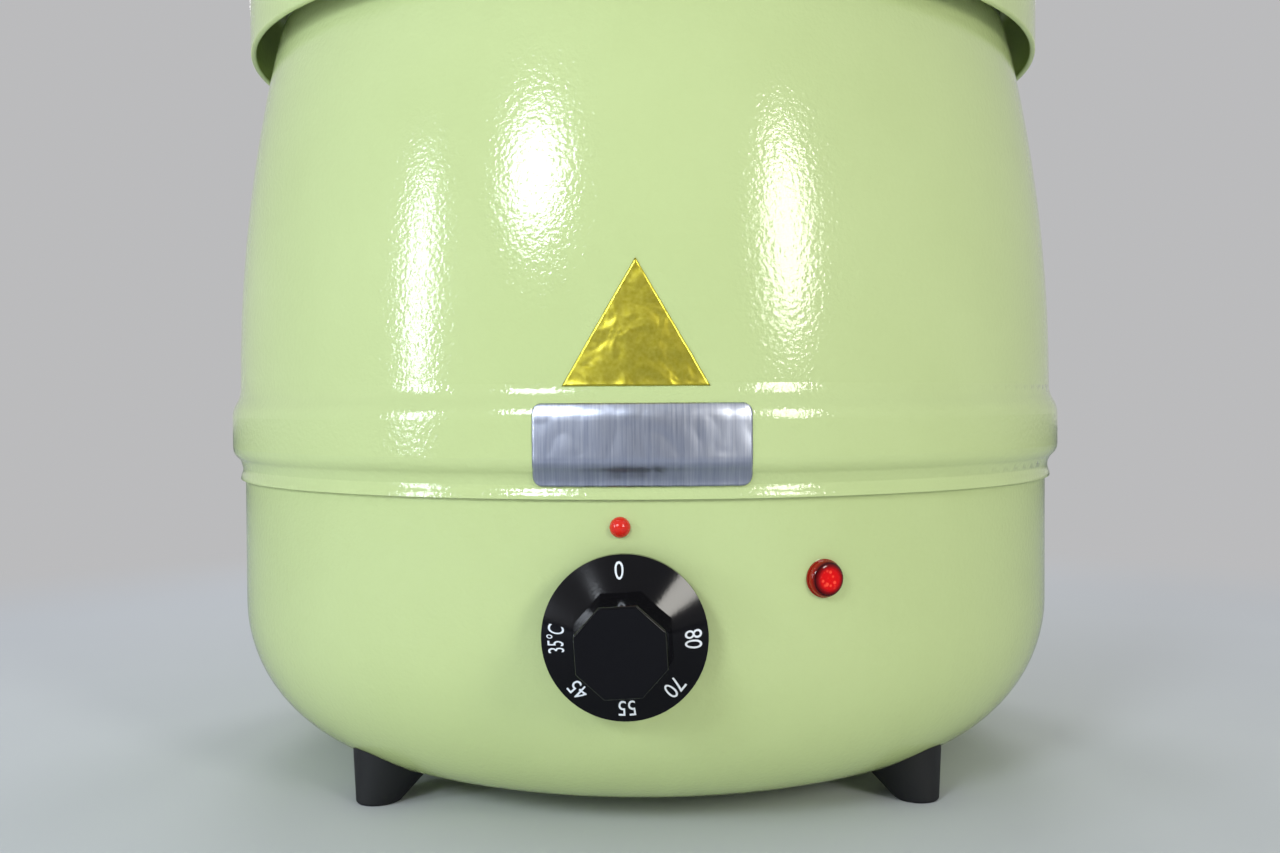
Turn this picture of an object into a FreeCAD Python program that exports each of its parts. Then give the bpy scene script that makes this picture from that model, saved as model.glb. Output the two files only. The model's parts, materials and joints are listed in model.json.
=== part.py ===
import FreeCAD, Part
import math
import os

from FreeCAD import Vector

# Electric wet-heat kettle in millimetres. +Z is up, the origin is on the kettle's axis at floor level,
# and the controls face -Y. A pressed bowl carries a spun barrel, a water well hangs in the barrel, an
# inner pot hangs in the well, and a loose collar with a hinged lid sits on the pot.

# Fits and sheet
SHEET = 0.8
FIT_GAP = 0.1
SEAT_GAP = 0.2
RUN_GAP = 0.05
HOLE_ROOM = 0.3

# Lower shell, a bowl with a straight wall
LOWER_RADIUS = 165.3
LOWER_CORNER = 58.0
FLOOR_GAP = 6.8
SEAM_CLEAR = 5.3
SEAM_OVERLAP = 13.0
BASE_FLANGE = 31.3

# Upper shell, a barrel with a belt above its skirt
BELT_PROUD = 4.7
SKIRT_FLARE = 0.9
SKIRT_HEIGHT = 4.2
SHOULDER_HEIGHT = 8.3
BELT_HEIGHT = 11.6
BELT_SLOPE_HEIGHT = 11.0
BARREL_PROUD = 1.5
RIM_INSET = 17.4
RIM_CORNER = 4.0
RIM_WIDTH = 6.4

# Base plate under the bowl
BASE_LAP = 12.0
BASE_SCREWS = 4
BASE_VENTS = 12
VENT_WIDTH = 4.0
VENT_LENGTH = 24.0
VENT_INSET = 36.0

# Rubber feet, cones that stand square on the bowl's corner
FOOT_TILT = 25.5
FOOT_TAPER = 24.0
FOOT_FLOOR_RADIUS = 7.0
FOOT_EDGE = 1.2
FOOT_HEAD_DEPTH = 5.0
FOOT_AZIMUTHS = {"front_left": 225, "front_right": 315, "rear_right": 45, "rear_left": 135}

# Screws: shank radius, head radius, head height
M4_SHANK = 2.0
M4_HEAD_RADIUS = 3.6
M4_HEAD_HEIGHT = 2.2
M4_NUT_FLATS = 7.0
M4_NUT_HEIGHT = 3.2
M3_SHANK = 1.5
M3_HEAD_RADIUS = 2.7
M3_HEAD_HEIGHT = 1.8
M3_NUT_FLATS = 5.5
M3_NUT_HEIGHT = 2.4
M6_SHANK = 3.0
M6_NUT_FLATS = 10.0
M6_NUT_HEIGHT = 5.0

# Water well and inner pot
WELL_RISE = 11.5
WELL_ROOM = 5.0
WELL_CORNER = 20.0
WELL_FLANGE_INSET = 1.4
WATER_GAP = 8.0
WATER_DEPTH = 15.0
POT_CORNER = 25.0
POT_DEPTH = 192.0
POT_FLANGE_INSET = 1.0
POT_BEAD = 1.6
FLANGE_BEND = 3.0

# Collar, an inverted channel over the rim
COLLAR_PROUD = 12.2
COLLAR_WIDTH = 14.6
COLLAR_DROP = 12.0
COLLAR_RISE = 19.4
COLLAR_CORNER = 8.0
COLLAR_BEAD = 1.1
LEDGE_WIDTH = 8.0
LEDGE_DROP = 4.8
LEDGE_EDGE = 1.5
LEDGE_ROOT = 1.0
MOUTH_EDGE = 3.0
SEAT_CORNER = 2.4
LIP_ROOM = 0.8
LIP_EDGE = 1.4
LIP_DEPTH = 9.0

# Lid
LID_RIM_GAP = 1.0
LID_RIM_WIDTH = 22.0
LID_STEP_WIDTH = 10.0
LID_STEP_HEIGHT = 9.5
LID_DOME_HEIGHT = 7.5
LID_TOP_RADIUS = 14.0
NOTCH_WIDTH = 24.0
NOTCH_DEPTH = 28.0

# Lid knob
KNOB_BASE_RADIUS = 11.0
KNOB_BASE_HEIGHT = 2.0
KNOB_NECK_RADIUS = 8.0
KNOB_NECK_HEIGHT = 8.0
KNOB_HEAD_RADIUS = 18.0
KNOB_HEAD_HEIGHT = 18.0
KNOB_CROWN = 8.0
KNOB_EDGE = 1.5
KNOB_SCREW_DEPTH = 14.0
WASHER_RADIUS = 8.0
WASHER_THICKNESS = 1.2

# Lid hinge at the rear
HINGE_BACK = 4.4
HINGE_RISE = 3.0
PIN_RADIUS = 2.0
PIN_HEAD_RADIUS = 3.2
PIN_HEAD_LENGTH = 1.5
KNUCKLE_RADIUS = 4.0
KNUCKLE_WIDTH = 15.0
KNUCKLE_GAP = 0.4
LID_KNUCKLE_WIDTH = 18.0
LEAF = 1.5
LEAF_BEND = 3.0
LID_LEAF_WIDTH = 36.0
LID_LEAF_LAP = 21.0
COLLAR_LEAF_HEIGHT = 22.0
COLLAR_LEAF_EDGE = 1.5
COLLAR_LEAF_ARC = 17.0
RIVET_SPREAD = 12.0
RIVET_RADIUS = 1.6
RIVET_HEAD_RADIUS = 3.6
RIVET_HEAD_HEIGHT = 1.4

# Control dial and its index stud, turned a little to the left of the line between the feet
CONTROL_TURN = -2.3
DIAL_RISE = 7.5
DIAL_RADIUS = 25.0
DIAL_STANDOFF = 4.0
DIAL_RIM = 2.5
DIAL_NECK_RADIUS = 13.5
DIAL_SKIRT_HEIGHT = 8.1
GRIP_BASE_FLATS = 29.5
GRIP_FACE_FLATS = 26.0
GRIP_EDGE = 0.7
GRIP_SIDES = 8
GRIP_TURN = 3.5
DIAL_HEIGHT = 25.2
DIAL_HOLLOW = 2.0
DIAL_WALL = 2.5
HUB_RADIUS = 8.0
SPINDLE_RADIUS = 3.0
SPINDLE_FLAT = 1.5
SPINDLE_GRIP = 17.0
SPINDLE_TAIL = 8.0
SPRING_THICKNESS = 0.4
SPRING_WIDTH = 3.6
SPRING_LENGTH = 10.0
INDEX_TURN = -2.85
INDEX_CLEAR = 7.3
INDEX_RADIUS = 3.2
INDEX_HEIGHT = 3.0
INDEX_SHANK = 2.0
INDEX_TAIL = 6.0
INDEX_CLIP_RADIUS = 5.0

# Thermostat behind the dial
PLATE_WIDTH = 40.0
PLATE_HEIGHT = 34.0
PLATE_THICKNESS = 1.5
THERMOSTAT_WIDTH = 36.0
THERMOSTAT_DEPTH = 24.0
THERMOSTAT_HEIGHT = 30.0
THERMOSTAT_SCREW_SPREAD = 14.0
THERMOSTAT_THREAD = 6.0
TAB_SPREAD = 8.0
TAB_WIDTH = 6.3
TAB_THICKNESS = 0.8
TAB_LENGTH = 8.0
TAB_RISE = 1.6

# Sensor bulb under the well
BULB_RADIUS = 3.0
BULB_LENGTH = 64.0
BULB_INSET = 15.0
CAPILLARY_RADIUS = 0.8
CAPILLARY_BEND = 5.0
CLIP_SPREAD = 20.0
CLIP_WIDTH = 8.0
CLIP_SPAN = 16.0

# Heating element and what holds it
ELEMENT_INSET = 33.0
ELEMENT_RADIUS = 3.5
ELEMENT_GAP_ANGLE = 14.0
ELEMENT_BEND = 8.0
ELEMENT_DROP = 22.0
ELEMENT_PIN_RADIUS = 1.5
ELEMENT_PIN_LENGTH = 8.0
SPIDER_HUB = 18.0
SPIDER_LAP = 9.0
SPIDER_WIDTH = 14.0
SPIDER_THICKNESS = 1.5
SPIDER_ARMS = (30, 150, 270)
STUD_TAIL = 3.0

# Thermal cut-out under the well
CUTOUT_INSET = 33.0
CUTOUT_RADIUS = 8.0
CUTOUT_HEIGHT = 10.0
CUTOUT_FLANGE = 1.0
CUTOUT_STUD_SPREAD = 12.0
CUTOUT_TAB_SPREAD = 4.0

# Pilot lamp to the right of the dial
LAMP_TURN = 19.3
LAMP_RISE = 22.8
LENS_FLANGE_RADIUS = 6.0
LENS_FLANGE = 0.8
LENS_RADIUS = 5.7
LENS_HEIGHT = 3.6
LENS_EDGE = 2.0
LENS_SHANK = 4.5
LENS_WALL = 1.0
LENS_TAIL = 6.0
LAMP_BODY_RADIUS = 5.6
LAMP_BODY_LENGTH = 16.0
LAMP_CLIP_RADIUS = 8.0
LAMP_LEAD_SPREAD = 2.6

# Cable gland at the rear
GLAND_RISE = 13.8
GLAND_THREAD = 8.0
GLAND_BORE = 6.0
GLAND_HEX = 22.0
GLAND_HEX_LENGTH = 5.0
GLAND_SLEEVE = 9.0
GLAND_TAIL = 10.0
LOCKNUT_LENGTH = 4.0
CAP_HEX = 21.0
CAP_LENGTH = 22.0
CAP_HOLE = 4.6
CAP_NOSE = 7.5
CAP_NOSE_LENGTH = 9.0
CAP_WALL = 7.0
SEAL_BORE = 4.0
SEAL_LENGTH = 10.0

# Terminal block on the bowl's floor, with its poles from left to right as seen from the front
BLOCK_INSET = 15.3
BLOCK_WIDTH = 52.0
BLOCK_DEPTH = 20.0
BLOCK_HEIGHT = 15.0
POLE_PITCH = 10.0
POLE_Z = 6.0
POLE_DEPTH = 6.0
POLE_SCREW_DEPTH = 5.0
BLOCK_FIXING_SPREAD = 15.0
EARTH_INSET = 12.7
EARTH_ANGLE = 160.2
EARTH_STUD_HEIGHT = 12.0
LUG_RADIUS = 4.2
LUG_THICKNESS = 1.0

# Leads inside the casing
LEAD_RADIUS = 1.2
LEAD_BEND = 5.0
LEAD_RISE = 11.2
HEATER_LEAD_RISE = 27.2

# Derived levels and radii
UP = Vector(0, 0, 1)
OUT = Vector(0, -1, 0)
BACK = Vector(0, 1, 0)
RIGHT = Vector(1, 0, 0)
ORIGIN = Vector(0, 0, 0)
WALL_Z = FLOOR_GAP + LOWER_CORNER
LOWER_INSIDE = LOWER_RADIUS - SHEET
BOWL_FLAT = LOWER_RADIUS - LOWER_CORNER
BOWL_FLOOR_Z = FLOOR_GAP + SHEET
CORNER_INSIDE = LOWER_CORNER - SHEET
BASE_MOUTH = BOWL_FLAT - BASE_FLANGE
BASE_RADIUS = BASE_MOUTH + BASE_LAP
VENT_RADIUS = BASE_MOUTH - VENT_INSET
FOOT_NUT_REACH = LOWER_CORNER - math.sqrt(CORNER_INSIDE ** 2 - M4_NUT_FLATS ** 2 / 3) + RUN_GAP
DIAL_Z = WALL_Z + DIAL_RISE
DIAL_BACK = LOWER_RADIUS + DIAL_STANDOFF
INDEX_Z = DIAL_Z + DIAL_RADIUS + INDEX_CLEAR
LAMP_Z = WALL_Z + LAMP_RISE
GLAND_Z = WALL_Z + GLAND_RISE
SEAM_Z = INDEX_Z + INDEX_RADIUS + SEAM_CLEAR
SKIRT_RADIUS = LOWER_RADIUS + FIT_GAP + SHEET
BELT_RADIUS = LOWER_RADIUS + BELT_PROUD
BARREL_RADIUS = LOWER_RADIUS + BARREL_PROUD
SHOULDER_Z = SEAM_Z + SKIRT_HEIGHT
BELT_LOW_Z = SHOULDER_Z + SHOULDER_HEIGHT
BELT_HIGH_Z = BELT_LOW_Z + BELT_HEIGHT
BARREL_Z = BELT_HIGH_Z + BELT_SLOPE_HEIGHT
WELL_UNDER_Z = DIAL_Z + WELL_RISE
WELL_DEPTH = WATER_DEPTH + POT_DEPTH - SEAT_GAP
RIM_Z = WELL_UNDER_Z + WELL_DEPTH
RIM_RADIUS = BARREL_RADIUS - RIM_INSET
RIM_MOUTH = RIM_RADIUS - RIM_WIDTH
BARREL_HEIGHT = RIM_Z - BARREL_Z
BARREL_SWEEP = (BARREL_HEIGHT ** 2 + RIM_INSET ** 2) / (2 * RIM_INSET)
WELL_TOP_Z = RIM_Z + SHEET
WELL_RADIUS = RIM_MOUTH - WELL_ROOM
WELL_FLAT = WELL_RADIUS - WELL_CORNER
WELL_FLANGE_RADIUS = RIM_RADIUS - WELL_FLANGE_INSET
POT_TOP_Z = WELL_TOP_Z + SEAT_GAP + SHEET
POT_RADIUS = WELL_RADIUS - WATER_GAP
POT_FLANGE_RADIUS = WELL_FLANGE_RADIUS - POT_FLANGE_INSET
COLLAR_SEAT_Z = POT_TOP_Z + SEAT_GAP + SHEET
COLLAR_TOP_Z = COLLAR_SEAT_Z + COLLAR_RISE
COLLAR_LOW_Z = POT_TOP_Z - COLLAR_DROP
COLLAR_LEAF_Z = COLLAR_LOW_Z + COLLAR_BEAD + FIT_GAP
COLLAR_RADIUS = RIM_RADIUS + COLLAR_PROUD
LEDGE_RADIUS = COLLAR_RADIUS - COLLAR_WIDTH
LEDGE_Z = COLLAR_TOP_Z - LEDGE_DROP
MOUTH_RADIUS = LEDGE_RADIUS - LEDGE_WIDTH
LIP_RADIUS = POT_RADIUS - LIP_ROOM - SHEET
LID_RIM_Z = LEDGE_Z + SEAT_GAP + SHEET
LID_RADIUS = LEDGE_RADIUS - LID_RIM_GAP
LID_STEP_RADIUS = LID_RADIUS - LID_RIM_WIDTH
LID_SHOULDER_RADIUS = LID_STEP_RADIUS - LID_STEP_WIDTH
LID_SHOULDER_Z = LID_RIM_Z + LID_STEP_HEIGHT
LID_TOP_Z = LID_SHOULDER_Z + LID_DOME_HEIGHT
NOTCH_REACH = LID_RADIUS - NOTCH_DEPTH
HINGE_Y = COLLAR_RADIUS + HINGE_BACK
HINGE_Z = COLLAR_TOP_Z + HINGE_RISE
ELEMENT_RING = WELL_FLAT - ELEMENT_INSET
ELEMENT_Z = WELL_UNDER_Z - RUN_GAP - ELEMENT_RADIUS
SPIDER_REACH = ELEMENT_RING + SPIDER_LAP
SPIDER_TOP_Z = ELEMENT_Z - ELEMENT_RADIUS - RUN_GAP
CUTOUT_X = ELEMENT_RING - CUTOUT_INSET
CUTOUT_UNDER_Z = WELL_UNDER_Z - RUN_GAP - CUTOUT_HEIGHT
BULB_OFFSET = WELL_FLAT - BULB_INSET
PLATE_DROP = max(0.0, WALL_Z - (DIAL_Z - PLATE_HEIGHT / 2))
PLATE_WALL = BOWL_FLAT + math.sqrt(CORNER_INSIDE ** 2 - PLATE_DROP ** 2)
PLATE_FACE = math.sqrt(PLATE_WALL ** 2 - (PLATE_WIDTH / 2) ** 2) - FIT_GAP
THERMOSTAT_FACE = PLATE_FACE - PLATE_THICKNESS - RUN_GAP
THERMOSTAT_REAR = THERMOSTAT_FACE - THERMOSTAT_DEPTH
TAB_Z = DIAL_Z + TAB_RISE
TAB_END = THERMOSTAT_REAR - TAB_LENGTH
BLOCK_Y = BOWL_FLAT - BLOCK_INSET
EARTH_X = (BOWL_FLAT - EARTH_INSET) * math.cos(math.radians(EARTH_ANGLE))
EARTH_Y = (BOWL_FLAT - EARTH_INSET) * math.sin(math.radians(EARTH_ANGLE))
LEAD_Z = BOWL_FLOOR_Z + LEAD_RISE
HEATER_LEAD_Z = BOWL_FLOOR_Z + HEATER_LEAD_RISE
POLE_FACE_Y = BLOCK_Y - BLOCK_DEPTH / 2


class Pen:
    """Draws an open profile in the XZ plane, run by run, each run tangent to the last."""

    def __init__(self, r, z):
        self.at = Vector(r, 0, z)
        self.runs = []

    def line(self, r, z):
        self.runs.append((self.at, Vector(r, 0, z), None))
        self.at = Vector(r, 0, z)

    def swing(self, centre, r, z):
        self.runs.append((self.at, Vector(r, 0, z), centre))
        self.at = Vector(r, 0, z)

    def turn(self, r, z, upright):
        """Quarter circle that leaves upright or level."""
        centre = Vector(r, 0, self.at.z) if upright else Vector(self.at.x, 0, z)
        self.swing(centre, r, z)

    def ogee(self, r, z, upright):
        """Two equal arcs that leave and arrive upright, or leave and arrive level."""
        step = Vector(r, 0, z) - self.at
        across = step.x if upright else step.z
        reach = math.copysign((step.x ** 2 + step.z ** 2) / (4 * abs(across)), across)
        offset = Vector(reach, 0, 0) if upright else Vector(0, 0, reach)
        middle = self.at + step * 0.5
        end = self.at + step
        self.swing(self.at + offset, middle.x, middle.z)
        self.swing(end - offset, end.x, end.z)

    def sheet(self, thickness):
        """Face between the drawn line and a copy of it to its left."""
        copies = [shifted(run, thickness) for run in self.runs]
        first, last = self.runs[0], self.runs[-1]
        caps = [(first[0], copies[0][0], None), (last[1], copies[-1][1], None)]
        edges = [edge(run) for run in self.runs + copies + caps]
        return Part.Face(Part.Wire(Part.__sortEdges__(edges)))

    def area(self):
        """Face inside the drawn line, closed back to its start."""
        edges = [edge(run) for run in self.runs + [(self.at, self.runs[0][0], None)]]
        return Part.Face(Part.Wire(Part.__sortEdges__(edges)))


def edge(run):
    start, end, centre = run
    if centre is None:
        return Part.LineSegment(start, end).toShape()
    spoke = ((start - centre) + (end - centre)).normalize()
    return Part.Arc(start, centre + spoke * (start - centre).Length, end).toShape()


def shifted(run, distance):
    """The same run, moved to its left."""
    start, end, centre = run
    if centre is None:
        along = (end - start).normalize()
        left = Vector(-along.z, 0, along.x) * distance
        return start + left, end + left, None
    first, second = start - centre, end - centre
    turns_left = first.x * second.z - first.z * second.x > 0
    scale = 1 - distance / first.Length if turns_left else 1 + distance / first.Length
    return centre + first * scale, centre + second * scale, centre


def revolved(face, angle=360):
    return face.revolve(ORIGIN, UP, angle)


def placed(shape, at, along):
    """A shape built along +Z, stood at a point along a direction."""
    moved = shape.copy()
    moved.Placement = FreeCAD.Placement(at, FreeCAD.Rotation(UP, along)).multiply(moved.Placement)
    return moved


def turned(shape, angle):
    """A copy turned round the kettle's axis."""
    moved = shape.copy()
    moved.rotate(ORIGIN, UP, angle)
    return moved


def turned_point(at, angle):
    return FreeCAD.Rotation(UP, angle).multVec(at)


def bar(at, along, radius, length):
    return Part.makeCylinder(radius, length, at, along)


def block(low, high):
    size = high - low
    return Part.makeBox(size.x, size.y, size.z, low)


def ring(at, along, outer, inner, length):
    return bar(at, along, outer, length).cut(bar(at, along, inner, length))


def screw(seat, along, length, shank, head_radius, head_height):
    """A shank that runs along a direction from its seat, with a rounded head behind the seat."""
    pen = Pen(0, 0)
    pen.line(head_radius, 0)
    pen.line(head_radius, head_height / 2)
    pen.turn(head_radius - head_height / 2, head_height, True)
    pen.line(0, head_height)
    head = placed(revolved(pen.area()), seat, along * -1)
    return head.fuse(bar(seat, along, shank, length)).removeSplitter()


def m4_screw(seat, along, length):
    return screw(seat, along, length, M4_SHANK, M4_HEAD_RADIUS, M4_HEAD_HEIGHT)


def polygon_wire(sides, flats, z):
    radius = flats / 2 / math.cos(math.pi / sides)
    angles = [math.pi * (2 * k + 1) / sides for k in range(sides + 1)]
    return Part.makePolygon([Vector(radius * math.cos(a), radius * math.sin(a), z) for a in angles])


def hex_bar(flats, length):
    return Part.Face(polygon_wire(6, flats, 0)).extrude(Vector(0, 0, length))


def nut(seat, along, flats, height, shank):
    body = placed(hex_bar(flats, height), seat, along)
    return body.cut(bar(seat, along, shank + RUN_GAP, height))


def tube(points, radius, bend):
    """Round bar along straight runs joined by tangent arcs."""
    edges = []
    start = points[0]
    for before, corner, after in zip(points, points[1:], points[2:]):
        back = (before - corner).normalize()
        on = (after - corner).normalize()
        half = back.getAngle(on) / 2
        arc_start = corner + back * (bend / math.tan(half))
        arc_end = corner + on * (bend / math.tan(half))
        middle = corner + (back + on).normalize() * (bend / math.sin(half) - bend)
        edges.append(Part.LineSegment(start, arc_start).toShape())
        edges.append(Part.Arc(arc_start, middle, arc_end).toShape())
        start = arc_end
    edges.append(Part.LineSegment(start, points[-1]).toShape())
    section = Part.Wire(Part.Circle(points[0], points[1] - points[0], radius).toShape())
    return Part.Wire(edges).makePipeShell([section], True, True)


def group(shapes):
    return Part.makeCompound(shapes)


def round_the_axis(count, radius, z, start=0.0):
    """Points spaced evenly on a circle round the kettle's axis."""
    angles = [math.radians(start + 360 * k / count) for k in range(count)]
    return [Vector(radius * math.cos(a), radius * math.sin(a), z) for a in angles]


# Casing
def upper_shell():
    sweep_centre = Vector(BARREL_RADIUS - BARREL_SWEEP, 0, BARREL_Z)
    corner_z = RIM_Z - RIM_CORNER
    corner_reach = math.sqrt((BARREL_SWEEP - RIM_CORNER) ** 2 - (corner_z - BARREL_Z) ** 2)
    corner_centre = Vector(sweep_centre.x + corner_reach, 0, corner_z)
    spoke = (corner_centre - sweep_centre).normalize()
    barrel_end = sweep_centre + spoke * BARREL_SWEEP
    pen = Pen(SKIRT_RADIUS + SKIRT_FLARE, SEAM_Z)
    pen.ogee(SKIRT_RADIUS, SHOULDER_Z, True)
    pen.ogee(BELT_RADIUS, BELT_LOW_Z, True)
    pen.line(BELT_RADIUS, BELT_HIGH_Z)
    pen.ogee(BARREL_RADIUS, BARREL_Z, True)
    pen.swing(sweep_centre, barrel_end.x, barrel_end.z)
    pen.swing(corner_centre, corner_centre.x, RIM_Z)
    pen.line(RIM_MOUTH, RIM_Z)
    return revolved(pen.sheet(SHEET))


def bowl_line(top_z, grown=0.0):
    """The bowl's outside from its flat bottom up the wall, grown outwards."""
    pen = Pen(BASE_MOUTH, FLOOR_GAP - grown)
    pen.line(BOWL_FLAT, FLOOR_GAP - grown)
    centre = Vector(BOWL_FLAT, 0, WALL_Z)
    pen.swing(centre, LOWER_RADIUS + grown, centre.z)
    pen.line(LOWER_RADIUS + grown, top_z)
    return pen


def lower_shell():
    shell = revolved(bowl_line(SEAM_Z + SEAM_OVERLAP).sheet(SHEET))
    holes = [turned(hole, CONTROL_TURN) for hole in control_holes()]
    holes.append(turned(wall_hole(INDEX_Z, INDEX_SHANK + HOLE_ROOM), INDEX_TURN))
    holes.append(turned(wall_hole(LAMP_Z, LENS_SHANK + HOLE_ROOM), LAMP_TURN))
    holes.append(turned(wall_hole(GLAND_Z, GLAND_THREAD + HOLE_ROOM), 180))
    holes.extend(bar(at, UP, M4_SHANK + HOLE_ROOM, SHEET) for at in base_screw_seats(FLOOR_GAP))
    holes.extend(bar(at, UP, M3_SHANK + HOLE_ROOM, SHEET) for at in block_fixings(FLOOR_GAP))
    holes.extend(turned(foot_hole(M4_SHANK + HOLE_ROOM), angle) for angle in FOOT_AZIMUTHS.values())
    return shell.cut(holes)


def wall_hole(z, radius, x=0.0):
    """A hole through the front of the straight wall."""
    reach = 2 * LOWER_CORNER
    return bar(Vector(x, -LOWER_RADIUS - reach / 2, z), BACK, radius, reach)


def control_holes():
    holes = [wall_hole(DIAL_Z, SPINDLE_RADIUS + 2 * HOLE_ROOM)]
    for side in (-1, 1):
        holes.append(wall_hole(DIAL_Z, M4_SHANK + HOLE_ROOM, side * THERMOSTAT_SCREW_SPREAD))
    return holes


def base_screw_seats(z):
    return round_the_axis(BASE_SCREWS, BASE_MOUTH + BASE_LAP / 2, z, 45.0)


def base_plate():
    low_z = FLOOR_GAP - SHEET
    plate = bar(Vector(0, 0, low_z), UP, BASE_RADIUS, SHEET)
    vent = block(Vector(VENT_RADIUS - VENT_LENGTH / 2, -VENT_WIDTH / 2, low_z),
                 Vector(VENT_RADIUS + VENT_LENGTH / 2, VENT_WIDTH / 2, FLOOR_GAP))
    vents = [turned(vent, 360 * k / BASE_VENTS) for k in range(BASE_VENTS)]
    holes = [bar(at, UP, M4_SHANK + HOLE_ROOM, SHEET) for at in base_screw_seats(low_z)]
    return plate.cut(vents + holes)


def base_screws():
    seats = base_screw_seats(FLOOR_GAP - SHEET)
    return group([m4_screw(at, UP, 5 * SHEET) for at in seats])


# Feet: each stands on an axis square to the bowl's corner, drawn here over +X
def foot_axis():
    """The direction up the foot, where its axis meets the floor, and where it meets the bowl."""
    tilt = math.radians(FOOT_TILT)
    along = Vector(-math.sin(tilt), 0, math.cos(tilt))
    corner_centre = Vector(BOWL_FLAT, 0, WALL_Z)
    on_bowl = corner_centre - along * LOWER_CORNER
    on_floor = on_bowl - along * (on_bowl.z / along.z)
    return along, on_floor, on_bowl


def foot_hole(radius):
    along, _, on_bowl = foot_axis()
    return bar(on_bowl - along * SHEET, along, radius, 3 * SHEET)


def foot():
    along, on_floor, on_bowl = foot_axis()
    slope = math.tan(math.radians(FOOT_TAPER))
    below = FOOT_FLOOR_RADIUS
    length = below + 2 * (on_bowl - on_floor).Length
    low_radius = FOOT_FLOOR_RADIUS - below * slope
    cone = Part.makeCone(low_radius, low_radius + length * slope, length, on_floor - along * below, along)
    reach = 2 * LOWER_RADIUS
    underground = block(Vector(-reach, -reach, -reach), Vector(reach, reach, 0))
    bowl = bowl_line(SEAM_Z, FIT_GAP)
    bowl.line(BASE_MOUTH, SEAM_Z)
    body = cone.cut([underground, revolved(bowl.area())])
    rim = [e for e in body.Edges if e.BoundBox.ZMax < FIT_GAP]
    body = body.makeFillet(FOOT_EDGE, rim)
    recess = bar(on_floor - along * below, along, M4_HEAD_RADIUS + HOLE_ROOM, below + FOOT_HEAD_DEPTH)
    return body.cut([recess, bar(on_floor, along, M4_SHANK + HOLE_ROOM, length)])


def foot_screws():
    along, on_floor, on_bowl = foot_axis()
    seat = on_floor + along * FOOT_HEAD_DEPTH
    length = (on_bowl - seat).Length + FOOT_NUT_REACH + M4_NUT_HEIGHT + FIT_GAP
    one = m4_screw(seat, along, length)
    return group([turned(one, angle) for angle in FOOT_AZIMUTHS.values()])


def foot_nuts():
    along, _, on_bowl = foot_axis()
    one = nut(on_bowl + along * FOOT_NUT_REACH, along, M4_NUT_FLATS, M4_NUT_HEIGHT, M4_SHANK)
    return group([turned(one, angle) for angle in FOOT_AZIMUTHS.values()])


# Wet heat
def flanged_cup(radius, depth, corner, flange_radius, top_z):
    """A spun cup drawn on its inside from the middle of its floor to the edge of its flange."""
    floor_z = top_z - depth
    pen = Pen(0, floor_z)
    pen.line(radius - corner, floor_z)
    pen.turn(radius, floor_z + corner, False)
    pen.line(radius, top_z - FLANGE_BEND)
    pen.turn(radius + FLANGE_BEND, top_z, True)
    pen.line(flange_radius, top_z)
    return revolved(pen.sheet(-SHEET))


def water_well():
    return flanged_cup(WELL_RADIUS, WELL_DEPTH, WELL_CORNER, WELL_FLANGE_RADIUS, WELL_TOP_Z)


def inner_pot():
    cup = flanged_cup(POT_RADIUS, POT_DEPTH, POT_CORNER, POT_FLANGE_RADIUS, POT_TOP_Z)
    bead_z = POT_TOP_Z - SHEET + POT_BEAD
    bead = Part.makeTorus(POT_FLANGE_RADIUS, POT_BEAD, Vector(0, 0, bead_z))
    return cup.fuse(bead)


def heating_element():
    """A tube bent into an open ring, with both ends turned down to their pins."""
    ends = []
    for side in (-1, 1):
        angle = math.radians(90 + side * ELEMENT_GAP_ANGLE)
        start = Vector(ELEMENT_RING * math.cos(angle), ELEMENT_RING * math.sin(angle), ELEMENT_Z)
        along = Vector(math.sin(angle), -math.cos(angle), 0) * side
        centre = start - UP * ELEMENT_BEND
        down = centre + along * ELEMENT_BEND
        middle = centre + (along + UP).normalize() * ELEMENT_BEND
        ends.append((start, middle, down, down - UP * (ELEMENT_DROP - ELEMENT_BEND)))
    right, left = ends
    front = Vector(0, -ELEMENT_RING, ELEMENT_Z)
    path = [Part.LineSegment(right[3], right[2]).toShape(),
            Part.Arc(right[2], right[1], right[0]).toShape(),
            Part.Arc(right[0], front, left[0]).toShape(),
            Part.Arc(left[0], left[1], left[2]).toShape(),
            Part.LineSegment(left[2], left[3]).toShape()]
    section = Part.Wire(Part.Circle(right[3], UP, ELEMENT_RADIUS).toShape())
    body = Part.Wire(path).makePipeShell([section], True, True)
    pins = [bar(end[3], UP * -1, ELEMENT_PIN_RADIUS, ELEMENT_PIN_LENGTH) for end in ends]
    return body.fuse(pins)


def element_pin_end(side):
    """The lower end of the right (1) or left (-1) pin."""
    angle = math.radians(90 - side * ELEMENT_GAP_ANGLE)
    x = ELEMENT_RING * math.cos(angle) - side * ELEMENT_BEND * math.sin(angle)
    y = ELEMENT_RING * math.sin(angle) + ELEMENT_BEND * math.cos(angle) * side
    return Vector(x, y, ELEMENT_Z - ELEMENT_DROP - ELEMENT_PIN_LENGTH)


def element_spider():
    low_z = SPIDER_TOP_Z - SPIDER_THICKNESS
    hub = bar(Vector(0, 0, low_z), UP, SPIDER_HUB, SPIDER_THICKNESS)
    arm = block(Vector(0, -SPIDER_WIDTH / 2, low_z), Vector(SPIDER_REACH, SPIDER_WIDTH / 2, SPIDER_TOP_Z))
    body = hub.fuse([turned(arm, angle) for angle in SPIDER_ARMS]).removeSplitter()
    return body.cut(bar(Vector(0, 0, low_z), UP, M6_SHANK + HOLE_ROOM, SPIDER_THICKNESS))


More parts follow.
